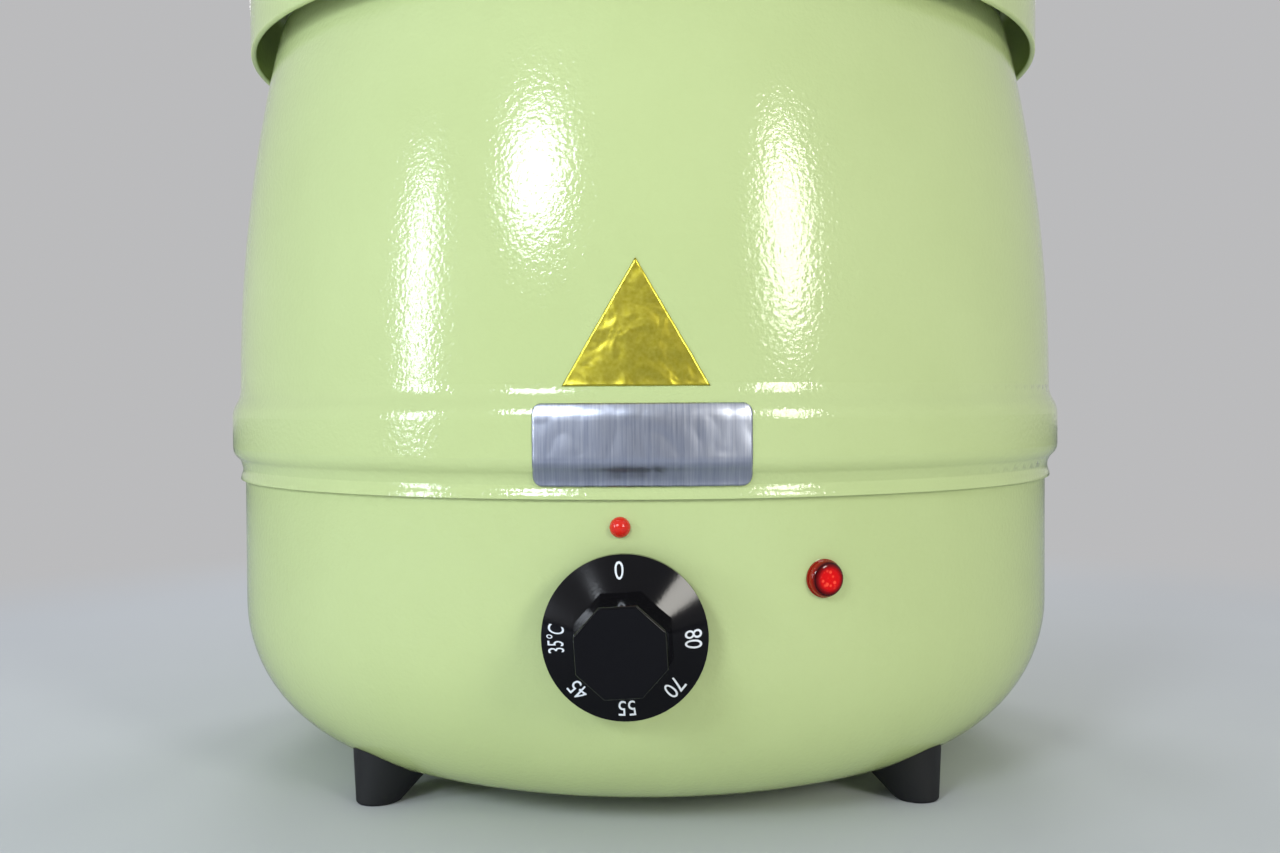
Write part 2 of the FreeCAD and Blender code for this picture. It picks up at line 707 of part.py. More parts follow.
def spider_stud():
    low_z = SPIDER_TOP_Z - SPIDER_THICKNESS - M6_NUT_HEIGHT - STUD_TAIL
    return bar(Vector(0, 0, low_z), UP, M6_SHANK, WELL_UNDER_Z - RUN_GAP - low_z)


def spider_nut():
    seat = Vector(0, 0, SPIDER_TOP_Z - SPIDER_THICKNESS - RUN_GAP)
    return nut(seat, UP * -1, M6_NUT_FLATS, M6_NUT_HEIGHT, M6_SHANK)


# Thermal cut-out on two studs under the well
def cutout_stud_points(z):
    return [Vector(CUTOUT_X + side * CUTOUT_STUD_SPREAD, 0, z) for side in (-1, 1)]


def cutout_tab_end(side):
    return Vector(CUTOUT_X, side * CUTOUT_TAB_SPREAD, CUTOUT_UNDER_Z - TAB_LENGTH)


def thermal_cutout():
    top_z = WELL_UNDER_Z - RUN_GAP
    flange_z = top_z - CUTOUT_FLANGE
    body = bar(Vector(CUTOUT_X, 0, CUTOUT_UNDER_Z), UP, CUTOUT_RADIUS, CUTOUT_HEIGHT)
    ears = block(Vector(CUTOUT_X - CUTOUT_STUD_SPREAD, -M4_HEAD_RADIUS, flange_z),
                 Vector(CUTOUT_X + CUTOUT_STUD_SPREAD, M4_HEAD_RADIUS, top_z))
    ends = [bar(at, UP, M4_HEAD_RADIUS, CUTOUT_FLANGE) for at in cutout_stud_points(flange_z)]
    tabs = []
    for side in (-1, 1):
        end = cutout_tab_end(side)
        half = Vector(TAB_WIDTH / 2, TAB_THICKNESS / 2, 0)
        tabs.append(block(end - half, end + half + UP * TAB_LENGTH))
    holes = [bar(at, UP, M3_SHANK + HOLE_ROOM, CUTOUT_FLANGE) for at in cutout_stud_points(flange_z)]
    return body.fuse([ears] + ends + tabs).removeSplitter().cut(holes)


def cutout_studs():
    length = CUTOUT_FLANGE + M3_NUT_HEIGHT + 2 * FIT_GAP
    top_z = WELL_UNDER_Z - RUN_GAP
    return group([bar(at, UP, M3_SHANK, length) for at in cutout_stud_points(top_z - length)])


def cutout_nuts():
    seat_z = WELL_UNDER_Z - RUN_GAP - CUTOUT_FLANGE - RUN_GAP
    points = cutout_stud_points(seat_z)
    return group([nut(at, UP * -1, M3_NUT_FLATS, M3_NUT_HEIGHT, M3_SHANK) for at in points])


# Control group, drawn on -Y and turned to its place
def on_dial_axis(shape):
    """A shape built along +Z from the dial's back, put on the dial's axis."""
    return turned(placed(shape, Vector(0, -DIAL_BACK, DIAL_Z), OUT), CONTROL_TURN)


def flat_side(low, high):
    """A block over the spindle's flat, from one level on the spindle to another."""
    wide = 2 * SPINDLE_RADIUS
    return block(Vector(-wide, SPINDLE_FLAT, low), Vector(wide, wide, high))


def dial_grip():
    base = polygon_wire(GRIP_SIDES, GRIP_BASE_FLATS, DIAL_RIM)
    face = polygon_wire(GRIP_SIDES, GRIP_FACE_FLATS, DIAL_HEIGHT)
    grip = Part.makeLoft([base, face], True, True)
    edges = [e for e in grip.Edges if e.BoundBox.ZMax > DIAL_HEIGHT - GRIP_EDGE]
    return grip.makeFillet(GRIP_EDGE, edges).rotated(ORIGIN, UP, GRIP_TURN)


def dial_knob():
    skirt = Pen(0, 0)
    skirt.line(DIAL_RADIUS, 0)
    skirt.line(DIAL_RADIUS, DIAL_RIM)
    skirt.line(DIAL_NECK_RADIUS, DIAL_SKIRT_HEIGHT)
    skirt.line(0, DIAL_SKIRT_HEIGHT)
    body = revolved(skirt.area()).fuse(dial_grip()).removeSplitter()
    hollow = ring(ORIGIN, UP, DIAL_RADIUS - DIAL_WALL, HUB_RADIUS, DIAL_HOLLOW)
    bore = bar(ORIGIN, UP, SPINDLE_RADIUS + RUN_GAP, SPINDLE_GRIP + RUN_GAP)
    spring_room = SPRING_THICKNESS + 2 * RUN_GAP
    shoulder = flat_side(0, DIAL_HEIGHT).translated(Vector(0, spring_room, 0))
    return on_dial_axis(body.cut([hollow, bore.cut(shoulder)]))


def dial_spindle():
    inside = DIAL_BACK - THERMOSTAT_FACE + SPINDLE_TAIL
    shaft = bar(UP * -inside, UP, SPINDLE_RADIUS, inside + SPINDLE_GRIP)
    return on_dial_axis(shaft.cut(flat_side(-DIAL_STANDOFF / 2, DIAL_HEIGHT)))


def knob_spring():
    low_z = SPINDLE_GRIP - SPRING_LENGTH
    low = Vector(-SPRING_WIDTH / 2, SPINDLE_FLAT + RUN_GAP, low_z)
    return on_dial_axis(block(low, low + Vector(SPRING_WIDTH, SPRING_THICKNESS, SPRING_LENGTH)))


def thermostat_plate():
    half = Vector(PLATE_WIDTH / 2, 0, PLATE_HEIGHT / 2)
    middle = Vector(0, -PLATE_FACE, DIAL_Z)
    plate = block(middle - half, middle + half + BACK * PLATE_THICKNESS)
    return turned(plate.cut(control_holes()), CONTROL_TURN)


def thermostat_body():
    half = Vector(THERMOSTAT_WIDTH / 2, 0, THERMOSTAT_HEIGHT / 2)
    face = Vector(0, -THERMOSTAT_FACE, DIAL_Z)
    body = block(face - half, face + half + BACK * THERMOSTAT_DEPTH)
    tabs = []
    for side in (-1, 1):
        low = Vector(side * TAB_SPREAD - TAB_WIDTH / 2, -THERMOSTAT_REAR, TAB_Z - TAB_THICKNESS / 2)
        tabs.append(block(low, low + Vector(TAB_WIDTH, TAB_LENGTH, TAB_THICKNESS)))
    cuts = [bar(face, BACK, SPINDLE_RADIUS + RUN_GAP, SPINDLE_TAIL + FIT_GAP)]
    for side in (-1, 1):
        at = face + RIGHT * (side * THERMOSTAT_SCREW_SPREAD)
        cuts.append(bar(at, BACK, M4_SHANK + RUN_GAP, THERMOSTAT_THREAD))
    return turned(body.fuse(tabs).cut(cuts), CONTROL_TURN)


def thermostat_screws():
    head_edge = THERMOSTAT_SCREW_SPREAD - M4_HEAD_RADIUS
    seat_y = math.sqrt(LOWER_RADIUS ** 2 - head_edge ** 2) + RUN_GAP
    length = seat_y - THERMOSTAT_FACE + THERMOSTAT_THREAD - FIT_GAP
    screws = []
    for side in (-1, 1):
        seat = Vector(side * THERMOSTAT_SCREW_SPREAD, -seat_y, DIAL_Z)
        screws.append(turned(m4_screw(seat, BACK, length), CONTROL_TURN))
    return group(screws)


def sensor_bulb():
    """A liquid-filled bulb under the well, with the fine tube that leads to the thermostat."""
    bulb_z = WELL_UNDER_Z - RUN_GAP - BULB_RADIUS
    left = Vector(-BULB_LENGTH / 2, -BULB_OFFSET, bulb_z)
    bulb = bar(left, RIGHT, BULB_RADIUS, BULB_LENGTH)
    entry = Vector(-TAB_SPREAD, -THERMOSTAT_REAR + FIT_GAP, DIAL_Z - THERMOSTAT_HEIGHT / 3)
    loop_y = -(BULB_OFFSET + THERMOSTAT_REAR) / 2
    corner = left - RIGHT * (3 * CAPILLARY_BEND)
    points = [left, corner, Vector(corner.x, loop_y, entry.z), entry + BACK * (2 * CAPILLARY_BEND), entry]
    return turned(bulb.fuse(tube(points, CAPILLARY_RADIUS, CAPILLARY_BEND)), CONTROL_TURN)


def bulb_clips():
    """Two straps, spot welded to the well, that hold the bulb against it."""
    top_z = WELL_UNDER_Z - RUN_GAP
    hold = BULB_RADIUS + RUN_GAP
    clips = []
    for side in (-1, 1):
        start = Vector(side * CLIP_SPREAD - CLIP_WIDTH / 2, -BULB_OFFSET, top_z - BULB_RADIUS)
        wings = block(start + Vector(0, -CLIP_SPAN / 2, BULB_RADIUS - SHEET),
                      start + Vector(CLIP_WIDTH, CLIP_SPAN / 2, BULB_RADIUS))
        sides = block(start + Vector(0, -hold - SHEET, 0),
                      start + Vector(CLIP_WIDTH, hold + SHEET, BULB_RADIUS))
        belly = bar(start, RIGHT, hold + SHEET, CLIP_WIDTH)
        above = block(start + Vector(0, -CLIP_SPAN, BULB_RADIUS),
                      start + Vector(CLIP_WIDTH, CLIP_SPAN, 3 * BULB_RADIUS))
        room = block(start + Vector(0, -hold, 0), start + Vector(CLIP_WIDTH, hold, BULB_RADIUS))
        strap = wings.fuse([sides, belly]).removeSplitter()
        clips.append(turned(strap.cut([above, room, bar(start, RIGHT, hold, CLIP_WIDTH)]), CONTROL_TURN))
    return group(clips)


def index_stud():
    """A domed stud pushed through the wall, which the dial's numbers are read against."""
    seat = Vector(0, -LOWER_RADIUS - RUN_GAP, INDEX_Z)
    ball = (INDEX_RADIUS ** 2 + INDEX_HEIGHT ** 2) / (2 * INDEX_HEIGHT)
    dome = Part.makeSphere(ball, seat + BACK * (ball - INDEX_HEIGHT))
    outside = block(seat - Vector(2 * ball, 3 * ball, 2 * ball), seat + Vector(2 * ball, 0, 2 * ball))
    return turned(dome.common(outside).fuse(bar(seat, BACK, INDEX_SHANK, INDEX_TAIL)), INDEX_TURN)


def clip_face(radius):
    """How far from the axis a flat washer of this radius lies on the inside of the wall."""
    return math.sqrt(LOWER_INSIDE ** 2 - radius ** 2) - RUN_GAP


def wall_clip(z, outer, inner):
    at = Vector(0, -clip_face(outer), z)
    return ring(at, BACK, outer, inner + RUN_GAP, SHEET)


def index_clip():
    return turned(wall_clip(INDEX_Z, INDEX_CLIP_RADIUS, INDEX_SHANK), INDEX_TURN)


# Pilot lamp
def lamp_lens():
    pen = Pen(0, -LENS_TAIL)
    pen.line(LENS_SHANK, -LENS_TAIL)
    pen.line(LENS_SHANK, RUN_GAP)
    pen.line(LENS_FLANGE_RADIUS, RUN_GAP)
    pen.line(LENS_FLANGE_RADIUS, LENS_FLANGE)
    pen.line(LENS_RADIUS, LENS_FLANGE)
    pen.line(LENS_RADIUS, LENS_HEIGHT - LENS_EDGE)
    pen.turn(LENS_RADIUS - LENS_EDGE, LENS_HEIGHT, True)
    pen.line(0, LENS_HEIGHT)
    inside = bar(UP * -LENS_TAIL, UP, LENS_SHANK - LENS_WALL, LENS_TAIL + LENS_HEIGHT - LENS_EDGE)
    return on_lamp_axis(revolved(pen.area()).cut(inside))


def on_lamp_axis(shape):
    return turned(placed(shape, Vector(0, -LOWER_RADIUS, LAMP_Z), OUT), LAMP_TURN)


def lamp_body():
    plug_radius = LENS_SHANK - LENS_WALL - RUN_GAP
    behind = UP * (-LENS_TAIL - FIT_GAP)
    plug = bar(behind, UP, plug_radius, LENS_TAIL)
    holder = bar(behind, UP * -1, LAMP_BODY_RADIUS, LAMP_BODY_LENGTH)
    return on_lamp_axis(plug.fuse(holder))


def lamp_clip():
    return turned(wall_clip(LAMP_Z, LAMP_CLIP_RADIUS, LENS_SHANK), LAMP_TURN)


# Cable gland, drawn along +Z from the wall and put at the rear
def on_gland_axis(shape):
    return placed(shape, Vector(0, LOWER_RADIUS, GLAND_Z), BACK)


def gland_body():
    flange = hex_bar(GLAND_HEX, GLAND_HEX_LENGTH).translated(UP * RUN_GAP)
    length = GLAND_TAIL + GLAND_HEX_LENGTH + GLAND_SLEEVE
    thread = bar(UP * -GLAND_TAIL, UP, GLAND_THREAD, length)
    bore = bar(UP * -GLAND_TAIL, UP, GLAND_BORE, length)
    return on_gland_axis(flange.fuse(thread).cut(bore))


def gland_locknut():
    corner = GLAND_HEX / 2 / math.cos(math.pi / 6)
    seat = Vector(0, clip_face(corner), GLAND_Z)
    return nut(seat, OUT, GLAND_HEX, LOCKNUT_LENGTH, GLAND_THREAD)


def gland_cap():
    """A dome nut that squeezes the seal onto a cord."""
    low = GLAND_HEX_LENGTH + 2 * RUN_GAP
    hex_length = CAP_LENGTH - CAP_NOSE_LENGTH
    nose = Part.makeCone(CAP_HEX / 2, CAP_NOSE, CAP_NOSE_LENGTH, UP * (low + hex_length))
    outside = hex_bar(CAP_HEX, hex_length).translated(UP * low).fuse(nose)
    room = bar(UP * low, UP, GLAND_THREAD + RUN_GAP, CAP_LENGTH - CAP_WALL)
    return on_gland_axis(outside.cut([room, bar(ORIGIN, UP, CAP_HOLE, 2 * CAP_LENGTH)]))


def gland_seal():
    high = GLAND_HEX_LENGTH + 2 * RUN_GAP + CAP_LENGTH - CAP_WALL - RUN_GAP
    return on_gland_axis(ring(UP * (high - SEAL_LENGTH), UP, GLAND_BORE - RUN_GAP, SEAL_BORE, SEAL_LENGTH))


# Terminal block and earth stud on the bowl's floor
def pole_x(pole):
    return pole * POLE_PITCH


def block_fixings(z):
    return [Vector(side * BLOCK_FIXING_SPREAD, BLOCK_Y, z) for side in (-1, 1)]


def terminal_block():
    half = Vector(BLOCK_WIDTH / 2, BLOCK_DEPTH / 2, 0)
    low = Vector(0, BLOCK_Y, BOWL_FLOOR_Z)
    body = block(low - half, low + half + UP * BLOCK_HEIGHT)
    cuts = [bar(at, UP, M3_SHANK + HOLE_ROOM, BLOCK_HEIGHT) for at in block_fixings(BOWL_FLOOR_Z)]
    top_z = BOWL_FLOOR_Z + BLOCK_HEIGHT
    for pole in range(-2, 3):
        entry = Vector(pole_x(pole), POLE_FACE_Y, BOWL_FLOOR_Z + POLE_Z)
        cuts.append(bar(entry, BACK, LEAD_RADIUS + FIT_GAP, POLE_DEPTH))
        cuts.append(bar(pole_screw_seat(pole, top_z), UP * -1, M3_SHANK + FIT_GAP, POLE_SCREW_DEPTH))
    return body.cut(cuts)


def pole_screw_seat(pole, z):
    return Vector(pole_x(pole), POLE_FACE_Y + POLE_DEPTH / 2, z)


def terminal_clamp_screws():
    top_z = BOWL_FLOOR_Z + BLOCK_HEIGHT + RUN_GAP
    seats = [pole_screw_seat(pole, top_z) for pole in range(-2, 3)]
    return group([m3_screw(at, POLE_SCREW_DEPTH - FIT_GAP) for at in seats])


def m3_screw(seat, length):
    return screw(seat, UP * -1, length, M3_SHANK, M3_HEAD_RADIUS, M3_HEAD_HEIGHT)


def terminal_fixing_screws():
    seats = block_fixings(BOWL_FLOOR_Z + BLOCK_HEIGHT + RUN_GAP)
    return group([m3_screw(at, BLOCK_HEIGHT + 4 * SHEET) for at in seats])


def earth_stud():
    return bar(Vector(EARTH_X, EARTH_Y, BOWL_FLOOR_Z + RUN_GAP), UP, M4_SHANK, EARTH_STUD_HEIGHT)


def earth_nut():
    seat = Vector(EARTH_X, EARTH_Y, BOWL_FLOOR_Z + LUG_THICKNESS + 3 * RUN_GAP)
    return nut(seat, UP, M4_NUT_FLATS, M4_NUT_HEIGHT, M4_SHANK)


# Leads inside the casing
def lead(points):
    return tube(points, LEAD_RADIUS, LEAD_BEND)


def pole_start(pole):
    """A lead's end in its pole, and the point where it turns in front of the block."""
    end = Vector(pole_x(pole), POLE_FACE_Y + POLE_DEPTH - FIT_GAP, BOWL_FLOOR_Z + POLE_Z)
    return end, Vector(end.x, POLE_FACE_Y - 4 * LEAD_BEND, end.z)


def thermostat_tab_end(side):
    """A lead's end at a thermostat tab, and its first two corners, down off the tab."""
    end = Vector(side * TAB_SPREAD, -TAB_END + FIT_GAP, TAB_Z)
    over = end + BACK * (2 * LEAD_BEND)
    under = Vector(over.x, over.y, HEATER_LEAD_Z)
    return [turned_point(at, CONTROL_TURN) for at in (end, over, under)]


def live_lead():
    start, before = pole_start(0)
    end, over, under = thermostat_tab_end(-1)
    return lead([start, before, Vector(4 * -LEAD_BEND, 0, LEAD_Z), under, over, end])


def switched_lead():
    end, over, under = thermostat_tab_end(1)
    tab = cutout_tab_end(-1) - UP * FIT_GAP
    return lead([end, over, under, Vector(tab.x, tab.y, HEATER_LEAD_Z), tab])


def heater_lead():
    tab = cutout_tab_end(1) - UP * FIT_GAP
    pin = element_pin_end(1) - UP * FIT_GAP
    return lead([tab, Vector(tab.x, tab.y, HEATER_LEAD_Z), Vector(pin.x, pin.y, HEATER_LEAD_Z), pin])


def neutral_lead():
    start, before = pole_start(-1)
    pin = element_pin_end(-1) - UP * FIT_GAP
    below_pin = Vector(pin.x, pin.y, HEATER_LEAD_Z)
    return lead([start, before, Vector(pin.x, before.y, HEATER_LEAD_Z), below_pin, pin])


def earth_lead():
    start, before = pole_start(-2)
    lug_z = BOWL_FLOOR_Z + 2 * RUN_GAP
    eye = Vector(EARTH_X, EARTH_Y, lug_z)
    lug = ring(eye, UP, LUG_RADIUS, M4_SHANK + RUN_GAP, LUG_THICKNESS)
    tail = eye + RIGHT * (LUG_RADIUS - LUG_THICKNESS) + UP * LEAD_RADIUS
    wire = lead([start, before, tail + RIGHT * (4 * LEAD_BEND), tail])
    clear = bar(eye, UP, M4_NUT_FLATS / math.sqrt(3) + FIT_GAP, EARTH_STUD_HEIGHT)
    return lug.fuse(wire.cut(clear))


def lamp_leads():
    rear = LOWER_RADIUS - LENS_TAIL - FIT_GAP - LAMP_BODY_LENGTH - FIT_GAP
    leads = []
    for side, pole in ((-1, 1), (1, 2)):
        x = side * LAMP_LEAD_SPREAD
        exit_points = [Vector(x, -rear, LAMP_Z), Vector(x, -rear + LEAD_BEND + LEAD_RADIUS, LAMP_Z),
                       Vector(x, -rear + LEAD_BEND + LEAD_RADIUS, LEAD_Z)]
        start, before = pole_start(pole)
        way = Vector(CUTOUT_X + side * LEAD_BEND, 0, LEAD_Z)
        leads.append(lead([turned_point(at, LAMP_TURN) for at in exit_points] + [way, before, start]))
    return group(leads)


# Collar
def collar():
    pen = Pen(COLLAR_RADIUS, COLLAR_LOW_Z)
    pen.line(COLLAR_RADIUS, COLLAR_TOP_Z - COLLAR_CORNER)
    pen.turn(COLLAR_RADIUS - COLLAR_CORNER, COLLAR_TOP_Z, True)
    pen.line(LEDGE_RADIUS + LEDGE_EDGE, COLLAR_TOP_Z)
    pen.turn(LEDGE_RADIUS, COLLAR_TOP_Z - LEDGE_EDGE, False)
    pen.line(LEDGE_RADIUS, LEDGE_Z + LEDGE_ROOT)
    pen.turn(LEDGE_RADIUS - LEDGE_ROOT, LEDGE_Z, True)
    pen.line(MOUTH_RADIUS + MOUTH_EDGE, LEDGE_Z)
    pen.turn(MOUTH_RADIUS, LEDGE_Z - MOUTH_EDGE, False)
    pen.line(MOUTH_RADIUS, COLLAR_SEAT_Z + SEAT_CORNER)
    pen.turn(MOUTH_RADIUS - SEAT_CORNER, COLLAR_SEAT_Z, True)
    pen.line(LIP_RADIUS + LIP_EDGE, COLLAR_SEAT_Z)
    pen.turn(LIP_RADIUS, COLLAR_SEAT_Z - LIP_EDGE, False)
    pen.line(LIP_RADIUS, COLLAR_SEAT_Z - LIP_DEPTH)
    bead = Part.makeTorus(COLLAR_RADIUS - COLLAR_BEAD, COLLAR_BEAD, Vector(0, 0, COLLAR_LOW_Z))
    return revolved(pen.sheet(SHEET)).fuse(bead).cut(collar_rivet_holes())


def collar_rivet_holes():
    reach = COLLAR_RADIUS / 2
    return [bar(at - BACK * reach, BACK, RIVET_RADIUS + RUN_GAP, 2 * reach) for at in collar_rivet_points()]


def collar_rivet_points():
    z = COLLAR_LEAF_Z + RIVET_HEAD_RADIUS + COLLAR_LEAF_EDGE
    return [Vector(side * RIVET_SPREAD, COLLAR_RADIUS, z) for side in (-1, 1)]


def knuckle(x, width):
    return bar(Vector(x, HINGE_Y, HINGE_Z), RIGHT, KNUCKLE_RADIUS, width)


def pin_bore(gap):
    reach = COLLAR_RADIUS
    return bar(Vector(-reach, HINGE_Y, HINGE_Z), RIGHT, PIN_RADIUS + gap, 2 * reach)


def collar_knuckle_starts():
    start = LID_KNUCKLE_WIDTH / 2 + KNUCKLE_GAP
    return -start - KNUCKLE_WIDTH, start


def collar_hinge_leaf():
    """A leaf rolled to the collar's curve, with two knuckles on short posts."""
    inside = COLLAR_RADIUS + RUN_GAP
    top_z = COLLAR_LEAF_Z + COLLAR_LEAF_HEIGHT
    post_z = COLLAR_LEAF_Z + 2 * (RIVET_HEAD_RADIUS + COLLAR_LEAF_EDGE)
    pen = Pen(inside, COLLAR_LEAF_Z)
    pen.line(inside + LEAF, COLLAR_LEAF_Z)
    pen.line(inside + LEAF, top_z)
    pen.line(inside, top_z)
    leaf = turned(revolved(pen.area(), COLLAR_LEAF_ARC), 90 - COLLAR_LEAF_ARC / 2)
    posts = []
    for x in collar_knuckle_starts():
        posts.append(knuckle(x, KNUCKLE_WIDTH))
        posts.append(block(Vector(x, HINGE_Y - KNUCKLE_RADIUS, post_z),
                           Vector(x + KNUCKLE_WIDTH, HINGE_Y, HINGE_Z)))
    inner = bar(UP * COLLAR_LEAF_Z, UP, inside, 2 * COLLAR_LEAF_HEIGHT)
    body = leaf.fuse([post.cut(inner) for post in posts]).removeSplitter()
    return body.cut(collar_rivet_holes() + [pin_bore(RUN_GAP / 2)])


def collar_rivets():
    rivets = []
    for at in collar_rivet_points():
        seat = at + BACK * (LEAF + 2 * RUN_GAP)
        tail = LEAF + SHEET + RIVET_SPREAD ** 2 / COLLAR_RADIUS
        head = screw(seat, OUT, tail, RIVET_RADIUS, RIVET_HEAD_RADIUS, RIVET_HEAD_HEIGHT)
        end = bar(seat + OUT * tail, OUT, RIVET_HEAD_RADIUS, RIVET_HEAD_HEIGHT)
        rivets.append(head.fuse(end))
    return group(rivets)


def hinge_pin():
    half = collar_knuckle_starts()[1] + KNUCKLE_WIDTH + RUN_GAP
    middle = Vector(0, HINGE_Y, HINGE_Z)
    pin = bar(middle - RIGHT * half, RIGHT, PIN_RADIUS, 2 * half)
    heads = [bar(middle + way * half, way, PIN_HEAD_RADIUS, PIN_HEAD_LENGTH) for way in (RIGHT, RIGHT * -1)]
    return pin.fuse(heads)


# Lid
def lid():
    pen = Pen(LID_RADIUS, LID_RIM_Z)
    pen.line(LID_STEP_RADIUS, LID_RIM_Z)
    pen.ogee(LID_SHOULDER_RADIUS, LID_SHOULDER_Z, False)
    pen.ogee(LID_TOP_RADIUS, LID_TOP_Z, False)
    pen.line(0, LID_TOP_Z)
    body = revolved(pen.sheet(SHEET))
    half = NOTCH_WIDTH / 2
    low_z = LID_RIM_Z - SHEET
    high_z = LID_TOP_Z + SHEET
    notch = block(Vector(NOTCH_REACH + half, -half, low_z), Vector(2 * LID_RADIUS, half, high_z))
    notch_end = bar(Vector(NOTCH_REACH + half, 0, low_z), UP, half, high_z - low_z)
    holes = [bar(at - UP * SHEET, UP, RIVET_RADIUS + RUN_GAP, SHEET) for at in lid_rivet_points()]
    holes.append(bar(UP * (LID_TOP_Z - SHEET), UP, M4_SHANK + HOLE_ROOM, SHEET))
    return body.cut([notch, notch_end] + holes)


def lid_rivet_points():
    y = math.sqrt((LID_STEP_RADIUS + RIVET_HEAD_RADIUS + FIT_GAP) ** 2 - RIVET_SPREAD ** 2)
    return [Vector(side * RIVET_SPREAD, y, LID_RIM_Z) for side in (-1, 1)]


def lid_hinge_leaf():
    """A strip cranked from the lid's rim up over the collar to one knuckle."""
    rim_z = LID_RIM_Z + RUN_GAP
    over_z = COLLAR_TOP_Z + SEAT_GAP
    rise = over_z - rim_z
    crank_start = LEDGE_RADIUS - LID_RIM_GAP - 2 * LEAF_BEND
    pen = Pen(LID_RADIUS - LID_LEAF_LAP, rim_z + LEAF)
    pen.line(crank_start, rim_z + LEAF)
    pen.ogee(crank_start + rise, over_z + LEAF, False)
    pen.line(HINGE_Y, over_z + LEAF)
    strip = pen.sheet(-LEAF).extrude(BACK * LID_LEAF_WIDTH).translated(OUT * (LID_LEAF_WIDTH / 2))
    strip.rotate(ORIGIN, UP, 90)
    half = LID_KNUCKLE_WIDTH / 2
    sides = []
    for x in collar_knuckle_starts():
        sides.append(block(Vector(x - KNUCKLE_GAP, COLLAR_RADIUS - KNUCKLE_RADIUS, rim_z),
                           Vector(x + KNUCKLE_WIDTH + KNUCKLE_GAP, 2 * HINGE_Y, 2 * HINGE_Z)))
    body = strip.cut(sides).fuse(knuckle(-half, 2 * half)).removeSplitter()
    holes = [bar(at, UP, RIVET_RADIUS + RUN_GAP, 2 * LEAF) for at in lid_rivet_points()]
    return body.cut(holes + [pin_bore(RUN_GAP)])


def lid_rivets():
    rivets = []
    for at in lid_rivet_points():
        seat = at + UP * (LEAF + 2 * RUN_GAP)
        tail = LEAF + SHEET + 3 * RUN_GAP
        head = screw(seat, UP * -1, tail, RIVET_RADIUS, RIVET_HEAD_RADIUS, RIVET_HEAD_HEIGHT)
        rivets.append(head.fuse(bar(seat - UP * tail, UP * -1, RIVET_HEAD_RADIUS, RIVET_HEAD_HEIGHT)))
    return group(rivets)


def lid_knob():
    """A moulded mushroom knob with a threaded hole from below."""
    crown = (KNOB_HEAD_RADIUS ** 2 + KNOB_CROWN ** 2) / (2 * KNOB_CROWN)
    top_z = KNOB_HEAD_HEIGHT + KNOB_CROWN
    pen = Pen(0, 0)
    pen.line(KNOB_BASE_RADIUS, 0)
    pen.line(KNOB_BASE_RADIUS, KNOB_BASE_HEIGHT)
    pen.ogee(KNOB_NECK_RADIUS, KNOB_NECK_HEIGHT, True)
    pen.ogee(KNOB_HEAD_RADIUS, KNOB_HEAD_HEIGHT, True)
    pen.swing(Vector(0, 0, top_z - crown), 0, top_z)
    body = revolved(pen.area())
    brim = [e for e in body.Edges if abs(e.BoundBox.ZMin - KNOB_HEAD_HEIGHT) < RUN_GAP]
    body = body.makeFillet(KNOB_EDGE, [e for e in brim if e.BoundBox.ZLength < RUN_GAP])
    thread = bar(ORIGIN, UP, M4_SHANK + RUN_GAP, KNOB_SCREW_DEPTH)
    return body.cut(thread).translated(UP * (LID_TOP_Z + RUN_GAP))


def lid_washer():
    low_z = LID_TOP_Z - SHEET - RUN_GAP - WASHER_THICKNESS
    return ring(UP * low_z, UP, WASHER_RADIUS, M4_SHANK + HOLE_ROOM, WASHER_THICKNESS)


def lid_knob_screw():
    seat_z = LID_TOP_Z - SHEET - WASHER_THICKNESS - 2 * RUN_GAP
    return m4_screw(UP * seat_z, UP, LID_TOP_Z - seat_z + KNOB_SCREW_DEPTH - FIT_GAP)


MAKERS = [upper_shell, lower_shell, base_plate, base_screws, foot_screws, foot_nuts, water_well, inner_pot,
          heating_element, element_spider, spider_stud, spider_nut, thermal_cutout, cutout_studs, cutout_nuts,
          dial_knob, dial_spindle, knob_spring, thermostat_plate, thermostat_body, thermostat_screws,
          sensor_bulb, bulb_clips, index_stud, index_clip, lamp_lens, lamp_body, lamp_clip, gland_body,
          gland_locknut, gland_cap, gland_seal, terminal_block, terminal_clamp_screws,
          terminal_fixing_screws, earth_stud, earth_nut, live_lead, switched_lead, heater_lead, neutral_lead,
          earth_lead, lamp_leads, collar, collar_hinge_leaf, collar_rivets, hinge_pin, lid, lid_hinge_leaf,
          lid_rivets, lid_knob, lid_washer, lid_knob_screw]

os.makedirs("parts", exist_ok=True)
for maker in MAKERS:
    maker().exportStep(f"parts/{maker.__name__}.step")
for place, azimuth in FOOT_AZIMUTHS.items():
    turned(foot(), azimuth).exportStep(f"parts/foot_{place}.step")
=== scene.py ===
import json
import math

import bmesh
import bpy
from mathutils import Matrix, Vector, noise


